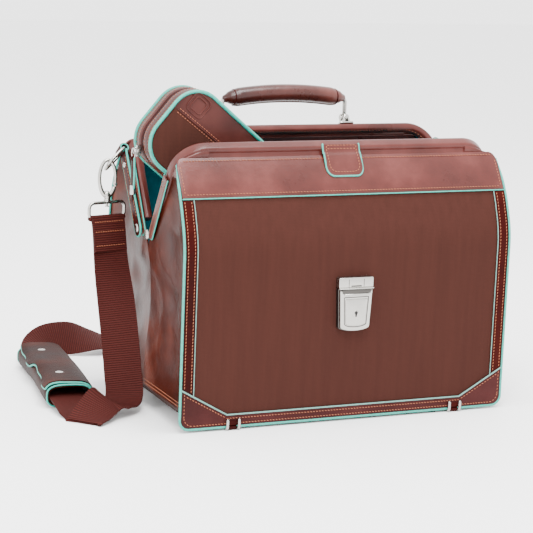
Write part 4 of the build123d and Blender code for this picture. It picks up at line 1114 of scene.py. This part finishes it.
LOW, HIGH = V(20.0, 207.0), V(77.0, 290.0)
ADIR = unit(HIGH - LOW)
ANRM = V(-ADIR[1], ADIR[0])
for sx, gname in SIDES:
    span = float(np.linalg.norm(HIGH - LOW))

    def anchor_f(u, v, sx=sx):
        along = -9 + (span + 6) * v
        w = 9.0
        if along < 0:
            w = 9 * math.sqrt(max(1 - (along / 9.3) ** 2, 0.02))
        c = LOW + ADIR * along + ANRM * (w * (2 * u - 1))
        return V(sx * (208.4 + 0.5 * math.sin(math.pi * u)), c[0], c[1])

    vs = np.concatenate([np.linspace(0, 0.1, 8), np.linspace(0.12, 1, 30)])
    anchor = sheet(f"anchor_{gname}", anchor_f, 10, 37, 2.4, "strip", flip=(sx > 0), vs=vs)
    rim = [anchor_f(0, v) for v in vs[::-1]] + [anchor_f(1, v) for v in vs]
    rim = tube(f"anchor_edge_{gname}", resample([p - V(sx * 1.2, 0, 0) for p in rim], 2), 1.35, "edge", n=8)
    sew = stitches(f"anchor_stitches_{gname}",
            [([anchor_f(uu, v) for v in np.linspace(0.2, 0.93, 26)], V(sx, 0, 0)) for uu in (0.17, 0.83)])
    # Folded loop that holds the D-ring
    c0 = V(sx * 208.4, HIGH[0], HIGH[1])
    ax = V(0, -ADIR[1], ADIR[0])

    def loop_f(u, v, sx=sx, c0=c0, ax=ax):
        a = -0.35 * math.pi + 1.75 * math.pi * v
        r = 4.6
        turn = V(sx * r * math.cos(a), *(ADIR * r * math.sin(a)))
        return c0 + ax * (-8.4 + 16.8 * u) + turn

    lp = sheet(f"anchor_loop_{gname}", loop_f, 8, 24, 1.5, "strip", flip=(sx < 0))
    le = join(f"anchor_loop_edge_{gname}",
              [tube("e", [loop_f(uu, v) for v in np.linspace(0, 1, 20)], 0.9, "edge", n=8) for uu in (0, 1)])
    rv = [dome("r", (sx * 208.8, LOW[0], LOW[1]), (sx, 0, 0), 5.4, 1.9),
          dome("r", (sx * 208.8, 66.5, 274.7), (sx, 0, 0), 3.4, 1.6)]
    rv = join(f"anchor_studs_{gname}", rv)
    dirn = V(sx * 0.743, -0.669 * ADIR[0], -0.669 * ADIR[1])
    ring = []
    for x, z in round_rect(26, 31, 9.5, 8, 0, 15.5):
        ring.append(c0 + ax * x + dirn * z)
    dr = tube(f"d_ring_{gname}", resample(ring, 1.5, closed=True), 1.9, "nickel", closed=True, n=12)
    ride("back_frame", anchor, rim, sew, lp, le, rv, dr)
    if sx < 0:
        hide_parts("anchor_strips")
        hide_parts("anchor_rivets")
        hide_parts("d_rings")
    # Snap hook: a tapered oval eye, a sprung gate, a swivel ball and its neck
    hx, hy, hz = sx * 231.0, 63.0, 260.0
    rr = []
    pts = []
    for th in np.linspace(-0.30, 2 * math.pi - 0.62, 60):
        pts.append((hx - sx * 9.9 * math.cos(th), hy, hz + 21.2 * math.sin(th)))
        rr.append(2.1 + 0.9 * max(0, -math.sin(th)) ** 1.5)
    eye = tube(f"hook_eye_{gname}", pts, np.array(rr), "nickel", n=14)
    gate = tube(f"hook_gate_bar_{gname}",
                smooth_path([(sx * 221.3, hy, 250.8), (sx * 221.1, hy, 256), (sx * 221.2, hy, 262),
                             (sx * 222.0, hy, 267.5)], 5), 1.7, "nickel", n=12)
    piv = lathe(f"hook_pivot_{gname}", (sx * 221.2, hy - 2.9, 252.7), (0, 1, 0),
                [(0.01, 0), (1.6, 0.2), (1.7, 5.6), (0.01, 5.8)], "nickel", 16)
    yoke_b = tube(f"hook_throat_{gname}",
                  smooth_path([(hx + sx * 0.5, hy, 240.5), (hx, hy, 238.6), (hx, hy, 236.4)], 5),
                  np.linspace(4.6, 3.9, 11), "nickel", n=16)
    ball = lathe(f"hook_ball_{gname}", (hx, hy, 233.0), (0, 0, 1),
                 [(2.4, -1.6), (3.7, -0.9), (4.1, 0.6), (3.7, 2.0), (2.6, 3.2)], "nickel", 24)
    pin = lathe(f"hook_pin_{gname}", (hx, hy, 229.2), (0, 0, 1),
                [(0.01, -3.4), (2.4, -3.2), (2.6, -2.2), (1.7, -1.8), (1.7, 2.6)], "nickel", 18)
    tdir = unit(V(-0.97 * sx, 0.2431, 0))
    rg = [V(hx, hy, 222) + tdir * x + V(0, 0, 1) * z for x, z in round_rect(49.0, 18.4, 6.4, 6)]
    rg = tube(f"strap_ring_{gname}", resample(rg, 1.5, closed=True), 2.0, "nickel", closed=True, n=12)
    ride("back_frame", eye, piv, yoke_b, ball, pin, rg)
    ride(f"hook_gate_{gname}", gate)
    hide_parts(f"hook_gate_{gname}")
    if sx < 0:
        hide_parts("hook_bodies")
        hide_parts("strap_rings")
rivs = []
for sx in (-1, 1):
    rivs.append(dome("hinge_stud", (sx * 203.6, 0, HINGE_Z), (sx, 0, 0), 6.4, 2.6))
    rivs.append(dome("hinge_stud", (sx * 191.6, 0, HINGE_Z), (-sx, 0, 0), 7.6, 2.0))
rivs = join("hinge_studs", rivs)
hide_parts("hinge_rivets")
ride("back_frame", rivs)

# ---------------------------------------------------------------- shoulder strap

WEB_HALF = 22
ROUTE = [
    ((-231, 62.5, 214), (0.97, 0.24, 0)), ((-230, 58, 196), (0.97, 0.24, 0)),
    ((-229, 48, 158), (0.98, 0.10, 0)), ((-228, 31, 118), (0.96, -0.20, 0)),
    ((-227.5, 16, 78), (0.92, -0.38, 0)), ((-227.5, 4, 42), (0.91, -0.41, 0)),
    ((-229, -8, 18), (0.90, -0.44, 0)), ((-238, -22, 10), (0.80, -0.60, 0)),
    ((-250, -31, 15), (0.72, -0.62, -0.30)), ((-263, -39, 21), (0.66, -0.60, -0.45)),
    ((-279, -50, 12), (0.70, -0.66, -0.26)), ((-293, -58.5, 3.6), (0.69, -0.72, 0)),
    ((-295, -56, 1.8), (0.69, -0.72, 0)), ((-292, -44, 2.4), (0.78, -0.62, 0)),
    ((-291, -22, 8), (0.95, -0.30, 0)), ((-291, 8, 13), (0.99, -0.12, 0)),
    ((-285, 56, 13), (0.99, -0.12, 0)), ((-278, 108, 13), (0.99, -0.12, 0)),
    ((-272, 160, 13), (0.99, -0.12, 0)), ((-266, 208, 14), (0.99, -0.12, 0)),
    ((-259, 232, 18), (0.85, -0.25, -0.45)), ((-240, 248, 22), (0.35, -0.40, -0.85)),
    ((-212, 254, 22), (0.05, -0.50, -0.86)), ((-180, 255, 18), (0, -0.92, -0.40)),
    ((-140, 250, 10), (0, -1, 0)), ((-90, 240, 3), (0.10, -0.99, 0)),
    ((-30, 230, 2), (0.10, -0.99, 0)), ((30, 222, 2), (0.10, -0.99, 0)),
    ((90, 216, 3), (0.05, -0.99, 0)), ((140, 212, 9), (0, -0.95, -0.30)),
    ((184, 205, 20), (-0.10, -0.60, -0.80)), ((218, 188, 23), (-0.30, -0.20, -0.93)),
    ((238, 158, 25), (-0.60, -0.10, -0.78)), ((243, 124, 36), (-0.90, 0, -0.40)),
    ((240, 94, 64), (-0.99, 0.10, 0)), ((236, 76, 106), (-0.97, 0.16, 0)),
    ((232, 66, 150), (-0.97, 0.24, 0)), ((230, 58, 196), (-0.97, 0.24, 0)),
    ((231, 62.5, 214), (-0.97, 0.24, 0)),
]
centre = smooth_path([p for p, _ in ROUTE], 8)
across = smooth_path([a for _, a in ROUTE], 8)
centre[:, 2] = np.maximum(centre[:, 2], 1.6)
tang = unit(np.gradient(centre, axis=0))
hold = np.exp(-(((centre - V(-290, -55, 4)) ** 2).sum(1)) / 30.0 ** 2)
across = unit(across - (1 - hold)[:, None] * tang * (across * tang).sum(1)[:, None])
low_end = centre[:, 2] - WEB_HALF * np.abs(across[:, 2])
centre[:, 2] += np.maximum(1.3 - low_end, 0)


def web_f(u, v):
    k = v * (len(centre) - 1)
    i = min(int(k), len(centre) - 2)
    f = k - i
    c = centre[i] + (centre[i + 1] - centre[i]) * f
    a = unit(across[i] + (across[i + 1] - across[i]) * f)
    t = tang[i]
    n = np.cross(a, t)
    return c + a * (WEB_HALF * (2 * u - 1)) + n * (0.9 - 0.7 * (2 * u - 1) ** 4)


web = sheet("strap_webbing", web_f, 12, len(centre) - 1, 1.9, "web")
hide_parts("shoulder_strap")
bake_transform(web)
folds = []
for (sx, gname), i0, sg in zip(SIDES, (0, len(centre) - 1), (1, -1)):
    idx = [i0 + sg * k for k in range(0, 14)]
    C = centre[idx]
    A = across[idx]
    T = unit(C[1] - C[0])
    nrm = np.cross(A[0], T)
    face = nrm if np.dot(nrm, V(-0.40, -0.9, 0.2)) > 0 else -nrm

    def fold_f(u, v, C=C, A=A, face=face):
        k = v * (len(C) - 1)
        i = min(int(k), len(C) - 2)
        c = C[i] + (C[i + 1] - C[i]) * (k - i)
        return c + A[0] * (22.2 * (2 * u - 1)) + face * (3.4 - 0.9 * v) + V(0, 0, 1.5)

    f1 = sheet(f"strap_fold_{gname}", fold_f, 10, 20, 2.0, "web",
               flip=bool(np.dot(np.cross(A[0], C[1] - C[0]), face) < 0))
    roll_c = V(sx * 231, 63, 213.2)
    tip = tube("strap_fold_roll", [roll_c + A[0] * x for x in np.linspace(-21.6, 21.6, 14)], 4.1, "web",
               n=14, flat=0.9)
    rows = [([fold_f(u, v) + face * 0.1 for u in np.linspace(0.05, 0.95, 24)], face)
            for v in (0.28, 0.62, 0.9)]
    sew = stitches(f"strap_stitches_{gname}", rows, "thread", gap=3.2, length=2.3)
    ride("back_frame", f1, tip, sew)
    tip.name = f"strap_fold_roll_{gname}"
    folds += [f1, tip, sew]

# Adjusting slider on the right-hand drop
sc, sax, sup = V(234, 71, 128), unit(V(-0.975, 0.2, 0)), unit(V(-0.088, -0.221, 0.971))
sn = np.cross(sax, sup)
sl = [tube("slider", resample([sc + sax * x + sup * z for x, z in round_rect(52, 26, 5, 6)], 1.5,
                              closed=True), 2.2, "nickel", closed=True, n=12),
      tube("slider", [sc + sax * x + sn * 1.2 for x in np.linspace(-25, 25, 10)], 2.2, "nickel", n=12)]
sl = join("slider_buckle", sl)
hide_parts("strap_slider")
ride("bag_body", sl)

# Pad: a leather sleeve, a flap over it with a painted wavy edge, and two snaps
pc, pa = V(-278.5, 108, 14.6), unit(V(0.124, 0.992, 0))
px = unit(V(0.992, -0.124, 0))


def pad_c(v):
    y = -98 + 196 * v
    return pc + pa * y + px * (1.6 * math.sin(3.0 * v + 0.4)) + V(0, 0, 0.6 * math.sin(5 * v))


def pad_f(u, v):
    a = -math.pi / 2 + 2 * math.pi * u
    ca, sa = math.cos(a), math.sin(a)
    e = min(v, 1 - v)
    w = 27.2 + 0.8 * math.sin(7 * v) - 1.2 * max(0, 1 - e / 0.06)
    h = 13.6 + 0.5 * math.sin(9 * v + 1) - 0.9 * max(0, 1 - e / 0.05)
    p = 0.62
    x = w * math.copysign(abs(ca) ** p, ca)
    z = h * math.copysign(abs(sa) ** p, sa)
    z = max(z + 0.5 * noise3((x, v * 200, z), 16), -13.9)
    return pad_c(v) + px * x + V(0, 0, z)


# The sleeve's inner face is near-black: painted shade inside the sleeve
pad = sheet("pad_sleeve", pad_f, 48, 60, 2.8, "pad", inner="painted_shade_black", flip=True)


def flap_f(u, v):
    wave = 1.8 * math.sin(11 * v + 0.6) + 1.0 * math.sin(23 * v)
    x = 26.5 - (26.5 + 25.5 + wave) * u
    lift = 1.9 + 1.5 * u ** 3 * (1 + 0.6 * math.sin(11 * v + 2.0))
    t = x / 27.6
    z = 13.8 * (1 - min(abs(t), 0.995) ** 3.4) ** 0.42 if abs(t) < 0.995 else 2.0
    return pad_c(0.015 + 0.97 * v) + px * x + V(0, 0, max(z, 4.0) + lift)


flap = sheet("pad_flap_leather", flap_f, 26, 60, 1.8, "pad")
rim = [flap_f(u, 0) for u in np.linspace(0.02, 0.98, 20)] + [flap_f(1, v) for v in np.linspace(0, 1, 60)]
rim += [flap_f(u, 1) for u in np.linspace(0.98, 0.02, 20)]
rim = tube("pad_flap_edge", resample([p - V(0, 0, 0.9) for p in rim], 2), 1.25, "edge", n=8)
mouth = [tube("m", resample([pad_f(u, vv) for u in np.linspace(0, 1, 48)[:-1]], 2, closed=True), 1.1, "edge",
              closed=True, n=8) for vv in (0.0, 1.0)]
mouth = join("pad_mouth_edges", mouth)
run = [flap_f(u, 0.035) for u in np.linspace(0.08, 0.9, 20)] + [flap_f(0.9, v)
                                                                for v in np.linspace(0.04, 0.96, 60)]
run += [flap_f(u, 0.965) for u in np.linspace(0.9, 0.08, 20)]
sew = stitches("pad_stitches", [(resample([p + V(0, 0, 0.1) for p in run], 1.5), V(-0.2, 0, 1))])
snaps = join("pad_snap_caps", [dome("s", flap_f(0.62, v) + V(0, 0, -0.3), (-0.05, 0, 1), 6.4, 2.8)
                               for v in (0.2, 0.8)])
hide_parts("shoulder_pad")
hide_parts("pad_flap")
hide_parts("pad_snaps")
ride("bag_body", pad, flap, rim, mouth, sew, snaps)

# ---------------------------------------------------------------- zipped case

cc, ct = V(-110.3, 0.0, 276.4), math.radians(40)
cx, cz = V(math.cos(ct), 0, -math.sin(ct)), V(math.sin(ct), 0, math.cos(ct))


def case_pt(a, y, b):
    """Point of the case: a along its length, b across, y in the row frame."""
    return cc + cx * a + cz * b + V(0, y, 0)


def case_ring(w, h, r, n=10):
    return resample([(x, 0, z) for x, z in round_rect(w, h, r, n)], 3.0, closed=True)[:, [0, 2]]


CASE_LENGTH, CASE_HEIGHT, CASE_FACE = 216.6, 101.6, 23.6
LOOP = case_ring(CASE_LENGTH, CASE_HEIGHT, 33.5)
# Half length of the medial segment, towards which every other ring is inset so that their points match
MED = CASE_LENGTH / 2 - CASE_HEIGHT / 2


def inset(p, d):
    mx = np.clip(p[:, 0], -MED, MED)
    c = np.stack([mx, np.zeros(len(p))], 1)
    q = p - c
    L = np.linalg.norm(q, axis=1, keepdims=True)
    return c + q * (L - d) / L


layers = []
for y, d in ((-23.6, 3.0), (-22.0, 1.2), (-19.5, 0.2), (-13, -0.9), (-7, -1.0), (-4.4, -0.2), (-4.0, 0.9),
             (4.0, 0.9), (4.4, -0.2), (7, -1.0), (13, -0.9), (19.5, 0.2), (22.0, 1.2), (23.6, 3.0)):
    ring = inset(LOOP, d)
    layers.append([case_pt(a, y + 0.25 * noise3((a, y, b), 20), b) for a, b in ring])
n = len(LOOP)
verts = [p for ring in layers for p in ring]
faces = [q[::-1] for q in quads(n, len(layers))]
ZIP_BAND = 6
kinds = [int(j == ZIP_BAND) for j in range(len(layers) - 1) for _ in range(n)]

for y_sign in (-1, 1):
    start = len(verts)
    ds = [3.0, 5.5, 9, 14, 20, 27, 34, 41, 47, 50.2]
    for d in ds:
        ring = inset(LOOP, d)
        bulge = CASE_FACE + 1.6 * math.sin(min(1, d / 50) * math.pi / 2)
        verts += [case_pt(a, y_sign * (bulge + 0.5 * noise3((a, 0, b), 26, y_sign)), b) for a, b in ring]
    sides = quads(n, len(ds), start=start)
    faces += sides if y_sign < 0 else [q[::-1] for q in sides]
    kinds += [0] * len(sides)
    lastr = tuple(start + (len(ds) - 1) * n + i for i in range(n))
    faces.append(lastr if y_sign < 0 else lastr[::-1])
    kinds.append(0)
case = make("case_shell", verts, faces, ["case", "zip"], 50, kinds)
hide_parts("case_body")


# Canvas panel over the lower part of the front, edged by the seam
def cpanel_f(u, v):
    a = -104.5 + 209 * u
    half_h = 48.2
    r = 30.5
    d = abs(a) - (104.5 - r)
    h = half_h if d <= 0 else half_h - r + math.sqrt(max(r * r - d * d, 0))
    top = min(11.4 + 0.035 * (a + 117), h)
    b = -h + (top + h) * v
    L = math.hypot(max(abs(a) - MED, 0), b)
    d2 = max(CASE_HEIGHT / 2 - L, 0)
    bulge = CASE_FACE + 1.6 * math.sin(min(1, d2 / 50) * math.pi / 2)
    return case_pt(a, -(bulge + 1.0 + 0.4 * noise3((a, 0, b), 26, -1)), b)


uu = bunched(61)
cp = sheet("case_canvas_panel", cpanel_f, 60, 16, 1.0, "case_canvas", us=uu)
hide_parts("case_panel")
pipes = []
for y in (-24.2, 24.2):
    ring = inset(LOOP, 0.4)
    pipes.append(tube("p", [case_pt(a, y, b) for a, b in ring], 2.15, "edge", closed=True, n=12))
pipes = join("case_cords", pipes)
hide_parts("case_piping")
seam_pts = [cpanel_f(u, 1.0) for u in np.linspace(0.02, 0.985, 80)]
runs = [([p + cz * 2.6 + V(0, -0.1, 0) for p in seam_pts], V(0, -1, 0)),
        ([p - cz * 2.4 + V(0, -0.25, 0) for p in seam_pts], V(0, -1, 0))]
for y, d in ((-18.5, -0.1), (-8.5, -1.0), (8.5, -1.0), (18.5, -0.1)):
    ring = inset(LOOP, d)
    ring = np.vstack([ring, ring[:1]])
    nr = unit(np.stack([ring[:, 0] - np.clip(ring[:, 0], -MED, MED), ring[:, 1]], 1))
    runs.append(([case_pt(a, y, b) for a, b in ring], [cx * p + cz * q for p, q in nr]))
case_sew = stitches("case_stitches", runs, "thread_dark")
lap = tube("case_seam_edge", [p + cz * 0.4 + V(0, -0.2, 0) for p in seam_pts], 0.7, "case", n=8)
# Coil zip round the middle
ring = inset(LOOP, 0.6)
coil = resample([case_pt(a, 0, b) for a, b in ring], 1.6, closed=True)
nr = unit(coil - (cc + (coil - cc) @ cx[:, None] * cx))
verts, faces = [], []
for i, (p, q) in enumerate(zip(coil, nr)):
    o = len(verts)
    w = 1.5
    off = V(0, 0.9 if i % 2 else -0.9, 0)
    tdir = unit(coil[(i + 1) % len(coil)] - coil[i - 1])
    for dy in (-w, w):
        for dt, h in ((-0.55, 0), (-0.4, 1.0), (0.4, 1.0), (0.55, 0)):
            verts.append(p + off + V(0, dy, 0) + tdir * dt + q * h)
    faces += [(o, o + 1, o + 5, o + 4), (o + 1, o + 2, o + 6, o + 5), (o + 2, o + 3, o + 7, o + 6),
              (o + 3, o, o + 4, o + 7), (o + 3, o + 2, o + 1, o), (o + 4, o + 5, o + 6, o + 7)]
teeth = make("zip_teeth", verts, faces, "strip", 40)
# Plain embossed badge on the leather
bc = V(-84.0, 31.5)
badge = []
for w, h, r in ((24, 24, 5.5), (16, 16, 3.5)):
    pts = [(bc[0] + x, bc[1] + z) for x, z in round_rect(w, h, r, 6)]
    badge.append(tube("b", resample([case_pt(a, -24.9, b) for a, b in pts], 1.2, closed=True), 0.8, "case",
                      closed=True, n=8))
badge = join("case_badge", badge)
ride("case", case, cp, pipes, case_sew, lap, teeth, badge)

# Zip slider, its ring, and the leather pull with a ferrule
zs = [lathe("z", (-212.6, 5, 300), (-1, 0, 0),
            [(0.01, 0), (3.6, 0), (3.9, 0.8), (3.4, 4.2), (2.6, 4.9), (0.01, 5.0)], "nickel", 20),
      tube("z", smooth_path([(-217.0, 5, 296.2), (-220.2, 5, 297.4), (-221.4, 5, 300), (-220.6, 5, 302.2),
                             (-217.0, 5, 303.6)], 5), 0.75, "nickel", n=10),
      make("z", [(-213.5 - dx, 5 + dy, 300 + dz) for dx in (0, 3.6)
                 for dy, dz in ((-3.4, -6.5), (3.4, -6.5), (2.6, 6.5), (-2.6, 6.5))],
           BOX_FACES, "nickel", 30)]
zs = join("zip_slider_body", zs)
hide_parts("zip_slider")
ride("case", zs)
zr = tube("zip_ring", [(-220.6, 5 + 5.8 * math.cos(a), 297.0 + 5.8 * math.sin(a))
                       for a in np.linspace(0, 2 * math.pi, 33)[:-1]], 0.85, "nickel", closed=True, n=10)
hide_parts("zip_pull_ring")


def pull_f(u, v):
    z = 291.8 - (291.8 - 257) * v
    w = 3.4 + 1.2 * math.sin(math.pi * v)
    return V(-221.8 - 0.3 * math.sin(math.pi * u), 5 + w * (2 * u - 1), z)


zp = sheet("zip_pull_leather", pull_f, 6, 20, 2.4, "strip")
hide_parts("zip_pull_tab")
ze = join("zip_pull_edges",
          [tube("e", [pull_f(uu_, v) + V(1.2, 0, 0) for v in np.linspace(0, 1, 20)], 1.3, "edge", n=8)
           for uu_ in (0, 1)])
zf = join("zip_ferrule",
          [lathe("f", (-220.6, 5, 259), (0, 0, -1), [(2.6, -1.5), (3.3, -1.2), (3.1, 4), (3.3, 8.6),
                                                     (2.7, 9.4), (1.0, 9.6)], "nickel", 24),
           tube("f", [(-220.6, 5, 250), (-220.4, 5.3, 246), (-219.8, 5.8, 242.5)], 0.7, "strip", n=8)])
loop = tube("zip_pull_loop",
            smooth_path([(-221.6, 5, 289), (-222.6, 5, 292), (-221.2, 5, 293.0), (-219.4, 5, 292),
                         (-219.8, 5, 289)], 4), 1.3, "strip", n=8)
ride("zip_pull", zr, zp, ze, zf, loop)

# ---------------------------------------------------------------- stage


fm = bpy.data.meshes.new("floor")
fm.from_pydata([(-6, -6, 0), (6, -6, 0), (6, 6, 0), (-6, 6, 0)], [], [(0, 1, 2, 3)])
fm.materials.append(base_material("floor_white", (0.93, 0.93, 0.93), 0.6, spec=0.2)[0])
floor = bpy.data.objects.new("floor", fm)
scene.collection.objects.link(floor)

world = bpy.data.worlds.new("studio")
scene.world = world
world.use_nodes = True
wt = world.node_tree
bg = wt.nodes["Background"]
bg.inputs["Color"].default_value = (1, 1, 1, 1)
bg.inputs["Strength"].default_value = SKY_STRENGTH


def area(name, where, at, size, power, size_y=None):
    d = bpy.data.lights.new(name, "AREA")
    d.shape = "RECTANGLE"
    d.size = size
    d.size_y = size_y or size
    d.energy = power
    ob = bpy.data.objects.new(name, d)
    scene.collection.objects.link(ob)
    ob.location = where
    ob.rotation_euler = (Vector(at) - Vector(where)).to_track_quat("-Z", "Y").to_euler()
    return ob


area("key", (-0.7, -1.5, 2.4), (0, 0, 0.15), 1.0, 70)
area("top", (0.1, -0.3, 2.2), (0, 0, 0.2), 1.0, 70)
area("side", (-2.2, -0.6, 1.3), (0, 0, 0.15), 0.6, 16, 1.0)
